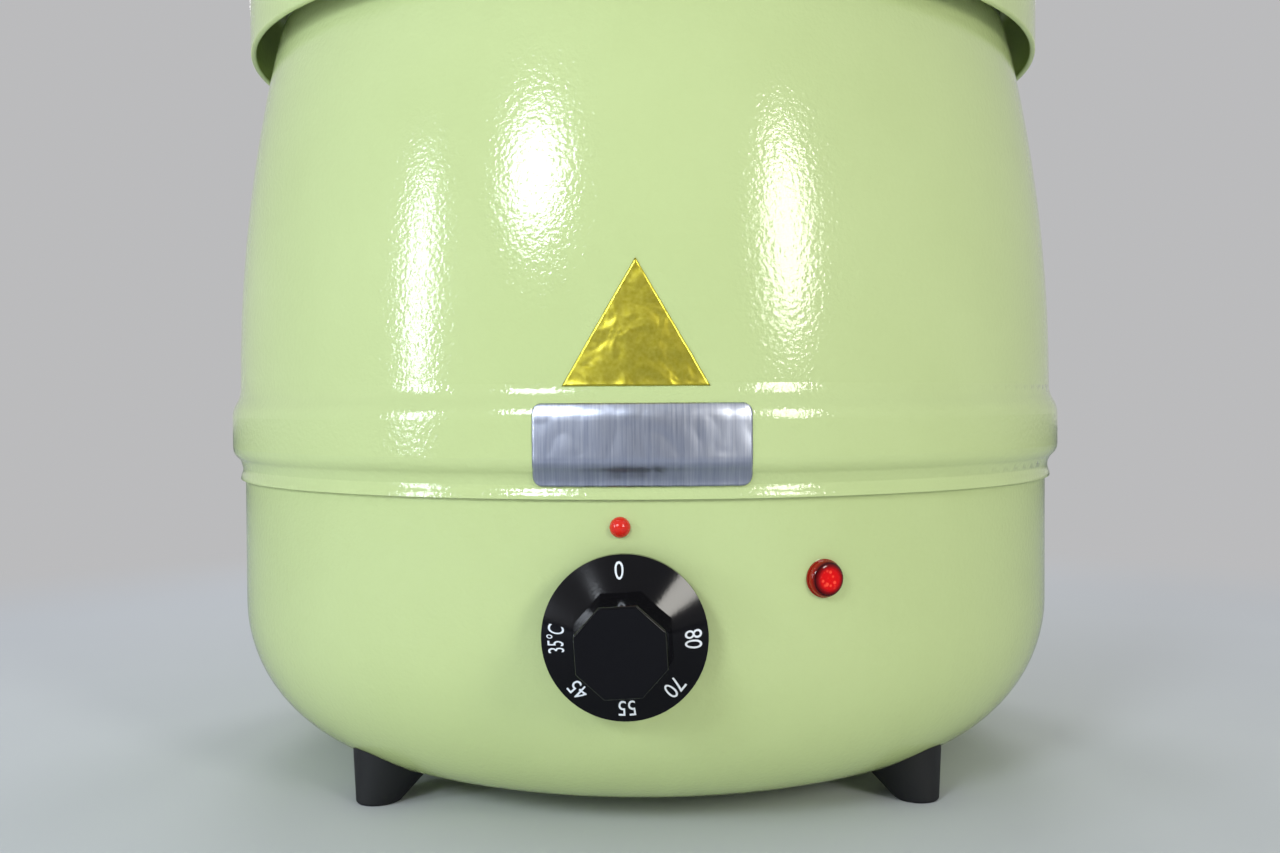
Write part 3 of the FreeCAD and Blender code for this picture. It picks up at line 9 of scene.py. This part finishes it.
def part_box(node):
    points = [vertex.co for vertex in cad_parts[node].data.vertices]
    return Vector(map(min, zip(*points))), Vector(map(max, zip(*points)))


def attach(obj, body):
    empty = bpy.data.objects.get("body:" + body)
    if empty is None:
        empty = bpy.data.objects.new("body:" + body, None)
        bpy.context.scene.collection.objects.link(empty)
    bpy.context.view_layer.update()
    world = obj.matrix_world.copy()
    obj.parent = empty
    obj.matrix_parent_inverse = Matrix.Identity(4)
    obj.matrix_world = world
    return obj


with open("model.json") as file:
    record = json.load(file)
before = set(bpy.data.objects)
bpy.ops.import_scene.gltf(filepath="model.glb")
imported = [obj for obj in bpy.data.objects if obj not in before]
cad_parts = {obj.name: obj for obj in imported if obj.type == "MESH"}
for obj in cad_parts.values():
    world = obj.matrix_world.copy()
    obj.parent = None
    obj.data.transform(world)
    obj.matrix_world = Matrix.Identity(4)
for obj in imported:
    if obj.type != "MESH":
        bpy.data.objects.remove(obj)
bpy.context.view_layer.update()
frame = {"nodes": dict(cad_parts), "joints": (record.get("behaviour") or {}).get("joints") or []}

# Viewpoint. A 35 mm lens stands half a metre from the kettle's axis, level with its belt, and looks a
# little down. The kettle fills the view from its feet to its collar.
mm = 0.001
lens_place = Vector((-2.0, -540.3, 142.7)) * mm
lens_pitch = math.radians(-1.17)
lens_roll = math.radians(-0.31)
lens = bpy.data.cameras.new("front_lens")
lens.lens = 35.0
lens.sensor_width = 36.0
lens.clip_start = 0.01
viewpoint = bpy.data.objects.new("viewpoint", lens)
bpy.context.collection.objects.link(viewpoint)
facing = Matrix.Rotation(math.radians(90) + lens_pitch, 4, "X") @ Matrix.Rotation(lens_roll, 4, "Z")
viewpoint.matrix_world = Matrix.Translation(lens_place) @ facing
bpy.context.scene.camera = viewpoint


# Room. A plain pale table top that fades into a grey wall, under a soft sky that is dim where the lens
# stands. Three soft boxes in front give the long highlights on the barrel, and two light the back.
def paint(red, green, blue):
    """A colour from its 0 to 255 values, as shaders take it."""
    channels = [value / 255 for value in (red, green, blue)]
    linear = [v / 12.92 if v <= 0.04045 else ((v + 0.055) / 1.055) ** 2.4 for v in channels]
    return (*linear, 1.0)


def join(tree, value, socket):
    """Sets a shader socket to a value, or links it to another socket."""
    if isinstance(value, bpy.types.NodeSocket):
        tree.links.new(value, socket)
    else:
        socket.default_value = value


def fill(tree, node, **sockets):
    """Joins a shader node's named sockets to what they take."""
    for name, value in sockets.items():
        join(tree, value, node.inputs[name.replace("_", " ")])


def add(tree, kind, settings=(), **sockets):
    """A new shader node with its settings made and its named sockets filled."""
    made = tree.nodes.new("ShaderNode" + kind)
    for name, value in dict(settings).items():
        setattr(made, name, value)
    fill(tree, made, **sockets)
    return made


def reckon(tree, kind, operation, *terms):
    """A new Math or VectorMath node that works on its terms in their order."""
    made = add(tree, kind, {"operation": operation})
    for term, socket in zip(terms, made.inputs):
        join(tree, term, socket)
    return made


def ramp(tree, along, stops, blend="LINEAR"):
    """A colour that runs through stops, which are paints by their places from 0 to 1."""
    made = add(tree, "ValToRGB", Fac=along)
    made.color_ramp.interpolation = blend
    for step, (at, colour) in enumerate(stops.items()):
        stop = made.color_ramp.elements[step] if step < 2 else made.color_ramp.elements.new(at)
        stop.position = at
        stop.color = paint(*colour)
    return made.outputs["Color"]


def finish(name):
    """A new material with a bare surface shader: the material, its node tree and the shader."""
    material = bpy.data.materials.new(name)
    material.use_nodes = True
    tree = material.node_tree
    return material, tree, tree.nodes["Principled BSDF"]


def place_on(tree):
    """The place on the object, in metres, as a node tree reads it."""
    return add(tree, "TexCoord").outputs["Object"]


def mesh_piece(name, points, faces, material, smooth=True):
    """A mesh object from its points and faces."""
    mesh = bpy.data.meshes.new(name)
    mesh.from_pydata([tuple(point) for point in points], [], faces)
    mesh.polygons.foreach_set("use_smooth", [smooth] * len(mesh.polygons))
    mesh.materials.append(material)
    piece = bpy.data.objects.new(name, mesh)
    bpy.context.collection.objects.link(piece)
    return piece


table_reach, table_fades, table_ends = 6.0, 0.45, 0.75
wall_tone, wall_level = paint(250, 250, 252), 0.52
table_paint, tree, shader = finish("pale_table_top")
place = place_on(tree)
cloud = add(tree, "TexNoise", Vector=place, Scale=3.0, Detail=3.0)
shade = ramp(tree, cloud.outputs["Fac"], {0.0: (186, 190, 196), 1.0: (196, 200, 205)})
ray = add(tree, "LightPath").outputs
lighting = add(tree, "MixRGB", Fac=ray["Is Diffuse Ray"], Color1=shade, Color2=paint(244, 245, 245))
mirrored = add(tree, "MixRGB", Fac=ray["Is Glossy Ray"], Color1=lighting.outputs["Color"],
               Color2=paint(148, 152, 162))
fill(tree, shader, Base_Color=mirrored.outputs["Color"], Roughness=0.9, Specular_IOR_Level=0.1)
from_middle = reckon(tree, "VectorMath", "LENGTH", place)
fade = add(tree, "MapRange", {"interpolation_type": "SMOOTHSTEP"}, Value=from_middle.outputs["Value"],
           From_Min=table_fades, From_Max=table_ends)
seen = reckon(tree, "Math", "MULTIPLY", fade.outputs["Result"], ray["Is Camera Ray"])
wall = add(tree, "Emission", Color=wall_tone, Strength=wall_level)
sweep = add(tree, "MixShader", Fac=seen.outputs["Value"])
join(tree, shader.outputs["BSDF"], sweep.inputs[1])
join(tree, wall.outputs["Emission"], sweep.inputs[2])
fill(tree, tree.nodes["Material Output"], Surface=sweep.outputs["Shader"])
table_corners = ((-1, -1), (1, -1), (1, 1), (-1, 1))
corners = [(side * table_reach, end * table_reach, 0.0) for side, end in table_corners]
table_top = mesh_piece("table_top", corners, [(0, 1, 2, 3)], table_paint, smooth=False)

clear_level = 0.7
sky = bpy.data.worlds.new("even_sky")
bpy.context.scene.world = sky
sky.use_nodes = True
tree = sky.node_tree
looking = add(tree, "TexCoord").outputs["Generated"]
ways = add(tree, "SeparateXYZ", Vector=looking).outputs
even_light = add(tree, "MapRange", Value=ways["Z"], From_Min=-0.2, From_Max=1.0, To_Min=0.35, To_Max=0.5)
dim_front = add(tree, "MapRange", Value=ways["Y"], From_Min=-0.97, From_Max=-0.6, To_Min=0.2, To_Max=0.5)
ray = add(tree, "LightPath").outputs
mirrored = add(tree, "Mix", Factor=ray["Is Glossy Ray"], A=even_light.outputs["Result"],
               B=dim_front.outputs["Result"])
clear = add(tree, "Mix", Factor=ray["Is Transmission Ray"], A=mirrored.outputs["Result"], B=clear_level)
level = add(tree, "Mix", Factor=ray["Is Camera Ray"], A=clear.outputs["Result"], B=wall_level)
fill(tree, tree.nodes["Background"], Color=wall_tone, Strength=level.outputs["Result"])

bpy.context.scene.view_settings.view_transform = "Standard"

kettle_middle = Vector((0, 0, 0.18))
box_distance = 1.3
soft_boxes = {
    "left_window": {"turn": -57, "rise": 9, "wide": 7, "tall": 24, "glare": 19.0, "tint": (236, 244, 255)},
    "left_box": {"turn": -27, "rise": 21, "wide": 14, "tall": 13, "glare": 24.0, "tint": (240, 247, 255)},
    "right_box": {"turn": 35, "rise": 15, "wide": 11, "tall": 21, "glare": 17.5, "tint": (255, 252, 244)},
    "back_left": {"turn": -160, "rise": 32, "wide": 24, "tall": 24, "glare": 5.5, "tint": (255, 255, 255)},
    "back_right": {"turn": 160, "rise": 32, "wide": 24, "tall": 24, "glare": 5.5, "tint": (255, 255, 255)},
}
for name, box in soft_boxes.items():
    light = bpy.data.lights.new(name, "AREA")
    light.shape = "ELLIPSE"
    light.size = 2 * box_distance * math.tan(math.radians(box["wide"] / 2))
    light.size_y = 2 * box_distance * math.tan(math.radians(box["tall"] / 2))
    light.color = paint(*box["tint"])[:3]
    light.energy = box["glare"] * math.pi * light.size * light.size_y * math.pi / 4
    stand = bpy.data.objects.new(name, light)
    bpy.context.collection.objects.link(stand)
    turn, rise = math.radians(box["turn"]), math.radians(box["rise"])
    towards = Vector((math.sin(turn) * math.cos(rise), -math.cos(turn) * math.cos(rise), math.sin(rise)))
    stand.location = kettle_middle + towards * box_distance
    stand.rotation_euler = towards.to_track_quat("Z", "Y").to_euler()


# Casing and lid. The bowl, the barrel, the collar and the lid are spun steel under one baked coat of
# apple-green powder, which flows out glossy but keeps the fine ripple of orange peel.
def effect(name, inputs, outputs):
    """An empty node group with named numbers in and named outputs: the group, its start and its end."""
    group = bpy.data.node_groups.new(name, "ShaderNodeTree")
    for socket, value in inputs.items():
        made = group.interface.new_socket(socket, in_out="INPUT", socket_type="NodeSocketFloat")
        made.default_value = value
    for socket in outputs:
        kind = "NodeSocketVector" if socket == "Normal" else "NodeSocketFloat"
        group.interface.new_socket(socket, in_out="OUTPUT", socket_type=kind)
    return group, group.nodes.new("NodeGroupInput").outputs, group.nodes.new("NodeGroupOutput")


def use(tree, group, **sockets):
    """What a node group puts out in a material, with its own values."""
    return add(tree, "Group", {"node_tree": group}, **sockets).outputs


def cover(material, *names):
    """Gives CAD pieces their material."""
    for name in names:
        frame["nodes"][name].material_slots[0].material = material


def made_of(slot):
    """The CAD pieces that still wear the plain material of a slot."""
    return [name for name, node in frame["nodes"].items() if node.material_slots[0].name.startswith(slot)]


ripple_inputs = {"Waves per metre": 600.0, "Depth": 0.03 * mm, "Sheen": 0.2, "Spread": 0.1}
skin_outputs = ("Tone", "Roughness", "Normal")
ripple, given, out = effect("ripple", ripple_inputs, skin_outputs)
place = place_on(ripple)
waves = add(ripple, "TexNoise", Vector=place, Scale=given["Waves per metre"], Detail=2.0, Roughness=0.45)
drift = add(ripple, "TexNoise", Vector=place, Scale=14.0, Detail=3.0)
bump = add(ripple, "Bump", Height=waves.outputs["Fac"], Distance=given["Depth"], Strength=1.0)
dullest = reckon(ripple, "Math", "ADD", given["Sheen"], given["Spread"])
gloss = add(ripple, "MapRange", Value=drift.outputs["Fac"], To_Min=given["Sheen"],
            To_Max=dullest.outputs["Value"])
fill(ripple, out, Tone=drift.outputs["Fac"], Roughness=gloss.outputs["Result"],
     Normal=bump.outputs["Normal"])


def toned(tree, tone, dark, light):
    """A colour that runs between two paints over the middle half of a tone."""
    return ramp(tree, tone, {0.25: dark, 0.75: light})


def rippled(name, dark, light, waves, depth, sheen, spread, **sockets):
    """A coated or moulded finish: two close colours under a ripple, and other sockets of its shader."""
    material, tree, shader = finish(name)
    skin = use(tree, ripple, Waves_per_metre=waves, Depth=depth, Sheen=sheen, Spread=spread)
    colour = toned(tree, skin["Tone"], dark, light)
    fill(tree, shader, Base_Color=colour, Roughness=skin["Roughness"], Normal=skin["Normal"], **sockets)
    return material


green_coat = rippled("green_powder_coat", (182, 199, 140), (187, 204, 146),
                     waves=680.0, depth=0.12 * mm, sheen=0.07, spread=0.04)
cover(green_coat, "lower_shell", "upper_shell", "collar", "lid")

# Bare plate. A strip of brushed aluminium foil with rounded corners, pressed over the belt by hand, so
# that it follows the steps of the shell and lies a little wavy.
foil_thickness = 0.25 * mm
bridge_steps = 4


def wall_radius(node, azimuth, height):
    """How far from the axis a level line towards it meets a piece."""
    away = Vector((math.sin(azimuth), -math.cos(azimuth), 0))
    _, point, _, _ = frame["nodes"][node].ray_cast(away + Vector((0, 0, height)), -away)
    return point.to_2d().length


def foil_point(node, azimuth, height, x, lift, bridge):
    """A point of a foil, lifted off a wall, that bridges the wall's steps over a reach up and down."""
    radius = wall_radius(node, azimuth, height)
    nearby = [height + bridge * step / bridge_steps for step in range(-bridge_steps, bridge_steps + 1)]
    mean = sum(wall_radius(node, azimuth, near) for near in nearby) / len(nearby)
    turn = azimuth + x / radius
    out = max(radius, mean) + lift
    return Vector((math.sin(turn) * out, -math.cos(turn) * out, height))


def foil_piece(name, points, faces, material):
    """A foil from the points of its face, with its thickness behind them."""
    piece = mesh_piece(name, points, faces, material)
    thick = piece.modifiers.new("foil", "SOLIDIFY")
    thick.thickness = foil_thickness
    thick.offset = -1
    return piece


def rounded(across, up, half_width, half_height, corner):
    """A point of a square grid from -1 to 1, moved on to a rectangle with round corners."""
    x, y = across * half_width, up * half_height
    inside_x, inside_y = half_width - corner, half_height - corner
    beyond_x, beyond_y = abs(x) - inside_x, abs(y) - inside_y
    if beyond_x > 0 and beyond_y > 0:
        a, b = beyond_x / corner, beyond_y / corner
        x = math.copysign(inside_x + corner * a * math.sqrt(1 - b * b / 2), x)
        y = math.copysign(inside_y + corner * b * math.sqrt(1 - a * a / 2), y)
    return x, y


def grid_faces(columns, rows):
    """The four-sided faces of a grid of points stored row by row."""
    cells = [(row * columns + column) for row in range(rows - 1) for column in range(columns - 1)]
    return [(cell, cell + 1, cell + columns + 1, cell + columns) for cell in cells]


plate_azimuth, plate_level = -0.0082, 129.6 * mm
plate_half_width, plate_half_height, plate_corner = 33.3 * mm, 12.6 * mm, 3.0 * mm
plate_columns, plate_rows = 100, 44
plate_lift, plate_bridge = 0.3 * mm, 3 * mm
lump_size, lump_height = 9 * mm, 0.3 * mm
scallop_length, scallop_height = 6.7 * mm, 0.35 * mm
sways_per_metre, most_sway = 60, 3
pressed_down_to = 0.35
points = []
for row in range(plate_rows):
    for column in range(plate_columns):
        across, up = 2 * column / (plate_columns - 1) - 1, 2 * row / (plate_rows - 1) - 1
        x, z = rounded(across, up, plate_half_width, plate_half_height, plate_corner)
        lump = abs(noise.noise(Vector((x, 0, z)) / lump_size)) * lump_height
        slack = max(0.0, -z / plate_half_height - pressed_down_to)
        sway = most_sway * noise.noise(Vector((sways_per_metre * x, 0, 0)))
        scallop = 0.5 + 0.5 * math.sin(2 * math.pi * x / scallop_length + sway)
        lift = plate_lift + lump + slack * scallop * scallop_height
        points.append(foil_point("upper_shell", plate_azimuth, plate_level + z, x, lift, plate_bridge))
bare_foil, tree, shader = finish("brushed_aluminium_foil")
stretch = add(tree, "Mapping", Vector=place_on(tree), Scale=(1500.0, 40.0, 40.0))
strokes = add(tree, "TexNoise", Vector=stretch.outputs["Vector"], Scale=1.0, Detail=5.0, Roughness=0.7)
silver = toned(tree, strokes.outputs["Fac"], (180, 189, 212), (230, 235, 246))
rub = add(tree, "MapRange", Value=strokes.outputs["Fac"], To_Min=0.29, To_Max=0.38)
bump = add(tree, "Bump", Height=strokes.outputs["Fac"], Distance=0.02 * mm, Strength=0.5)
fill(tree, shader, Base_Color=silver, Metallic=1.0, Roughness=rub.outputs["Result"],
     Normal=bump.outputs["Normal"])
bare_plate = foil_piece("bare_plate", points, grid_faces(plate_columns, plate_rows), bare_foil)
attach(bare_plate, "base")

# Foil triangle. A bare gold foil sticker on the barrel above the belt, thin enough to crinkle as it
# is rubbed down.
triangle_azimuth, triangle_level = -0.019, 147.3 * mm
triangle_half_width, triangle_height = 22.4 * mm, 38.6 * mm
triangle_steps = 60
triangle_lift, triangle_bridge = 0.25 * mm, 1 * mm
crinkle_size, crinkle_height = 7 * mm, 0.3 * mm
points, faces = [], []
for row in range(triangle_steps + 1):
    for column in range(triangle_steps + 1 - row):
        x = (2 * column + row - triangle_steps) / triangle_steps * triangle_half_width
        z = row / triangle_steps * triangle_height
        lift = triangle_lift + abs(noise.noise(Vector((x, 0, z)) / crinkle_size)) * crinkle_height
        height = triangle_level + z
        points.append(foil_point("upper_shell", triangle_azimuth, height, x, lift, triangle_bridge))
row_start = 0
for row in range(triangle_steps):
    length = triangle_steps + 1 - row
    for column in range(length - 1):
        low, high = row_start + column, row_start + length + column
        faces.append((low, low + 1, high))
        if column < length - 2:
            faces.append((low + 1, high + 1, high))
    row_start += length
gold_foil, tree, shader = finish("crinkled_gold_foil")
place = place_on(tree)
folds = add(tree, "TexNoise", Vector=place, Scale=90.0, Detail=2.0, Roughness=0.5, Distortion=0.6)
grain = add(tree, "TexNoise", Vector=place, Scale=900.0, Detail=3.0)
gold = toned(tree, grain.outputs["Fac"], (230, 216, 66), (243, 231, 96))
rub = add(tree, "MapRange", Value=grain.outputs["Fac"], To_Min=0.29, To_Max=0.38)
bump = add(tree, "Bump", Height=folds.outputs["Fac"], Distance=0.7 * mm, Strength=1.0)
fill(tree, shader, Base_Color=gold, Metallic=1.0, Roughness=rub.outputs["Result"],
     Normal=bump.outputs["Normal"])
gold_triangle = foil_piece("gold_triangle", points, faces, gold_foil)
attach(gold_triangle, "base")

# Feet. Black moulded rubber cones, each held by a screw up its middle, dull with a bloom of dust. The
# seal in the cable gland is the same rubber.
rubber = rippled("black_rubber", (14, 15, 17), (24, 26, 28),
                 waves=900.0, depth=0.06 * mm, sheen=0.5, spread=0.2)
cover(rubber, "foot_front_left", "foot_front_right", "foot_rear_right", "foot_rear_left", "gland_seal")

# Base plate, clips, spindle and fasteners. Zinc-plated steel, pressed, turned or wound, with the bluish
# cloud of a passivated coat.
zinc, tree, shader = finish("zinc_plate")
place = place_on(tree)
spangle = add(tree, "TexVoronoi", Vector=place, Scale=220.0)
cloud = add(tree, "TexNoise", Vector=place, Scale=60.0, Detail=4.0)
plating = toned(tree, cloud.outputs["Fac"], (158, 162, 166), (196, 199, 203))
dull = add(tree, "MapRange", Value=spangle.outputs["Distance"], To_Min=0.3, To_Max=0.45)
bump = add(tree, "Bump", Height=cloud.outputs["Fac"], Distance=0.1 * mm, Strength=0.3)
fill(tree, shader, Base_Color=plating, Metallic=1.0, Roughness=dull.outputs["Result"],
     Normal=bump.outputs["Normal"])
cover(zinc, *made_of("zinc_steel"))

# Water well, inner pot and hinge. Stainless sheet, spun on a lathe or stamped, with the fine rings
# that the roller and the polishing belt leave.
rings_per_metre = 700.0
rings, given, out = effect("spun_rings", {"Rings per metre": rings_per_metre}, skin_outputs)
place = place_on(rings)
along = add(rings, "SeparateXYZ", Vector=place).outputs
level_place = add(rings, "CombineXYZ", X=along["X"], Y=along["Y"])
from_axis = reckon(rings, "VectorMath", "LENGTH", level_place.outputs["Vector"])
section = add(rings, "CombineXYZ", X=from_axis.outputs["Value"], Y=along["Z"])
turns = add(rings, "TexNoise", Vector=section.outputs["Vector"], Scale=given["Rings per metre"], Detail=1.0)
smear = add(rings, "TexNoise", Vector=place, Scale=18.0, Detail=4.0)
bump = add(rings, "Bump", Height=turns.outputs["Fac"], Distance=0.03 * mm, Strength=0.3)
dull = add(rings, "MapRange", Value=smear.outputs["Fac"], To_Min=0.29, To_Max=0.42)
fill(rings, out, Tone=turns.outputs["Fac"], Roughness=dull.outputs["Result"], Normal=bump.outputs["Normal"])
stainless, tree, shader = finish("spun_stainless")
spun = use(tree, rings, Rings_per_metre=rings_per_metre)
steel = toned(tree, spun["Tone"], (206, 208, 210), (224, 226, 227))
fill(tree, shader, Base_Color=steel, Metallic=1.0, Roughness=spun["Roughness"], Normal=spun["Normal"])
cover(stainless, *made_of("stainless"))

# Dial. Glossy black phenolic, moulded in one with its octagon grip. The numbers are printed in white
# on the flared skirt, with their tops outwards. The lid's knob and the cut-out's case are phenolic too.
phenolic = rippled("black_phenolic", (6, 6, 9), (10, 10, 14),
                   waves=900.0, depth=0.01 * mm, sheen=0.09, spread=0.05, Specular_IOR_Level=0.28)
cover(phenolic, "dial_knob", "lid_knob", "thermal_cutout")
turning = next(joint for joint in frame["joints"] if joint["name"] == "dial_turn")
dial_out = -Vector(turning["axis"]).normalized()
dial_middle = Vector(turning["pos_m"])
dial_up = Vector((0, 0, 1))
dial_right = dial_up.cross(dial_out)
number_radius, number_height = 20.2 * mm, 5.1 * mm
figure_share_of_font = 0.7
number_lift, number_reach = 0.06 * mm, 60 * mm
dial_numbers = {
    "0": {"clockwise": -4.0, "squeeze": 0.8},
    "80": {"clockwise": 89.5, "squeeze": 0.8},
    "70": {"clockwise": 133.8, "squeeze": 0.8},
    "55": {"clockwise": 178.0, "squeeze": 0.8},
    "45": {"clockwise": 222.7, "squeeze": 0.8},
    "35°C": {"clockwise": 270.0, "squeeze": 0.55},
}
ink = rippled("white_ink", (214, 222, 230), (226, 233, 240),
              waves=1800.0, depth=0.02 * mm, sheen=0.45, spread=0.1)
points, faces = [], []
for words, print_at in dial_numbers.items():
    text = bpy.data.curves.new("number", "FONT")
    text.body = words
    text.size = number_height / figure_share_of_font
    text.align_x = "CENTER"
    text.align_y = "CENTER"
    writing = bpy.data.objects.new("number", text)
    bpy.context.collection.objects.link(writing)
    bpy.context.view_layer.update()
    outlines = writing.evaluated_get(bpy.context.evaluated_depsgraph_get())
    drawn = bmesh.new()
    drawn.from_mesh(bpy.data.meshes.new_from_object(outlines))
    bmesh.ops.triangulate(drawn, faces=drawn.faces)
    bmesh.ops.subdivide_edges(drawn, edges=drawn.edges, cuts=2, use_grid_fill=True)
    drawn.verts.index_update()
    start = len(points)
    for corner in drawn.verts:
        radius = number_radius + corner.co.y
        angle = math.radians(print_at["clockwise"]) + corner.co.x * print_at["squeeze"] / number_radius
        spoke = dial_up * math.cos(angle) + dial_right * math.sin(angle)
        above = dial_middle + spoke * radius + dial_out * number_reach
        _, point, _, _ = frame["nodes"]["dial_knob"].ray_cast(above, -dial_out)
        points.append(point + dial_out * number_lift)
    faces.extend(tuple(start + corner.index for corner in face.verts) for face in drawn.faces)
    drawn.free()
    bpy.data.objects.remove(writing)
numbers = mesh_piece("dial_numbers", points, faces, ink)
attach(numbers, "dial")

# Index stud and pilot lamp. The stud is glossy red plastic. The lamp's lens is moulded in clear red
# with small facets on its inside under a smooth dome. Its colour has painted shade, darker towards the rim,
# and painted glints for the facets' sparkle.
red_stud = rippled("red_plastic", (206, 32, 22), (216, 44, 30),
                   waves=900.0, depth=0.02 * mm, sheen=0.08, spread=0.05)
cover(red_stud, "index_stud")
lamp_low, lamp_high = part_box("lamp_lens")
lamp_middle = (Vector(lamp_low) + Vector(lamp_high)) / 2
lamp_axis = Vector((lamp_middle.x, lamp_middle.y, 0)).normalized()
lamp_rings_reach = 6 * mm
# Painted shade: the lens's red runs from bright in the middle to a near-black ring by the rim, lighter
# again at the flange's edge.
painted_lens_shade = {0.0: (220, 2, 2), 0.5: (204, 0, 4), 0.68: (120, 0, 4), 0.84: (34, 0, 2), 0.97: (150, 30, 18)}
red_lens, tree, shader = finish("red_lens")
place = place_on(tree)
from_middle = reckon(tree, "VectorMath", "SUBTRACT", place, lamp_middle)
sideways = reckon(tree, "VectorMath", "CROSS_PRODUCT", from_middle.outputs["Vector"], lamp_axis)
from_axis = reckon(tree, "VectorMath", "LENGTH", sideways.outputs["Vector"])
outwards = add(tree, "MapRange", Value=from_axis.outputs["Value"], From_Max=lamp_rings_reach)
red = ramp(tree, outwards.outputs["Result"], painted_lens_shade)
# Painted glints: spots near the middle of the lens mix its red towards a pale orange-red.
facets = add(tree, "TexVoronoi", Vector=place, Scale=640.0)
painted_glint_spots = add(tree, "MapRange", Value=facets.outputs["Distance"], From_Min=0.42, From_Max=0.2, To_Max=0.8)
inner = add(tree, "MapRange", Value=outwards.outputs["Result"], From_Min=0.6, From_Max=0.35)
painted_glints = reckon(tree, "Math", "MULTIPLY", painted_glint_spots.outputs["Result"], inner.outputs["Result"])
lit = add(tree, "MixRGB", Fac=painted_glints.outputs["Value"], Color1=red, Color2=paint(255, 84, 60))
gloss = add(tree, "MapRange", Value=facets.outputs["Distance"], To_Min=0.05, To_Max=0.12)
fill(tree, shader, Base_Color=lit.outputs["Color"], Roughness=gloss.outputs["Result"],
     Specular_IOR_Level=0.3)
cover(red_lens, "lamp_lens")

# Cable gland. The body, its cap and its locknut are moulded in black nylon with a fine matt grain, and
# screwed together through the back of the casing.
nylon = rippled("black_nylon", (26, 26, 27), (34, 34, 35),
                waves=1500.0, depth=0.05 * mm, sheen=0.42, spread=0.15)
cover(nylon, *made_of("black_nylon"))

# Inside the casing. A white terminal block, lamp body and thermostat body, a heat-darkened element held
# by its aluminium spider, a copper bulb with its fine tube, brass clamp screws and sleeved leads.
white_nylon = rippled("white_nylon", (222, 220, 212), (232, 230, 223),
                      waves=1200.0, depth=0.04 * mm, sheen=0.4, spread=0.12)
cover(white_nylon, *made_of("white_nylon"))
sleeves = {"brown_sleeve": ((84, 50, 30), (98, 60, 38)), "blue_sleeve": ((36, 84, 150), (46, 96, 166))}
for slot, (dark, light) in sleeves.items():
    sleeve = rippled(slot, dark, light, waves=800.0, depth=0.03 * mm, sheen=0.38, spread=0.1)
    cover(sleeve, *made_of(slot))
earth_sleeve, tree, shader = finish("earth_sleeve")
stripe = add(tree, "TexWave", {"bands_direction": "DIAGONAL"}, Vector=place_on(tree), Scale=120.0)
striped = ramp(tree, stripe.outputs["Fac"], {0.0: (40, 120, 52), 0.5: (222, 204, 60)}, blend="CONSTANT")
fill(tree, shader, Base_Color=striped, Roughness=0.4)
cover(earth_sleeve, *made_of("earth_sleeve"))
inside_metals = {
    "darkened_sheath": {"pieces": ["heating_element"], "tones": ((74, 70, 68), (104, 98, 92))},
    "copper_metal": {"pieces": made_of("copper"), "tones": ((180, 108, 78), (206, 134, 100))},
    "aluminium_metal": {"pieces": made_of("aluminium"), "tones": ((186, 188, 190), (206, 208, 209))},
    "brass_metal": {"pieces": made_of("brass"), "tones": ((190, 156, 84), (212, 180, 108))},
}
for name, metal in inside_metals.items():
    bare_metal = rippled(name, *metal["tones"], waves=500.0, depth=0.04 * mm, sheen=0.28, spread=0.15,
                         Metallic=1.0)
    cover(bare_metal, *metal["pieces"])
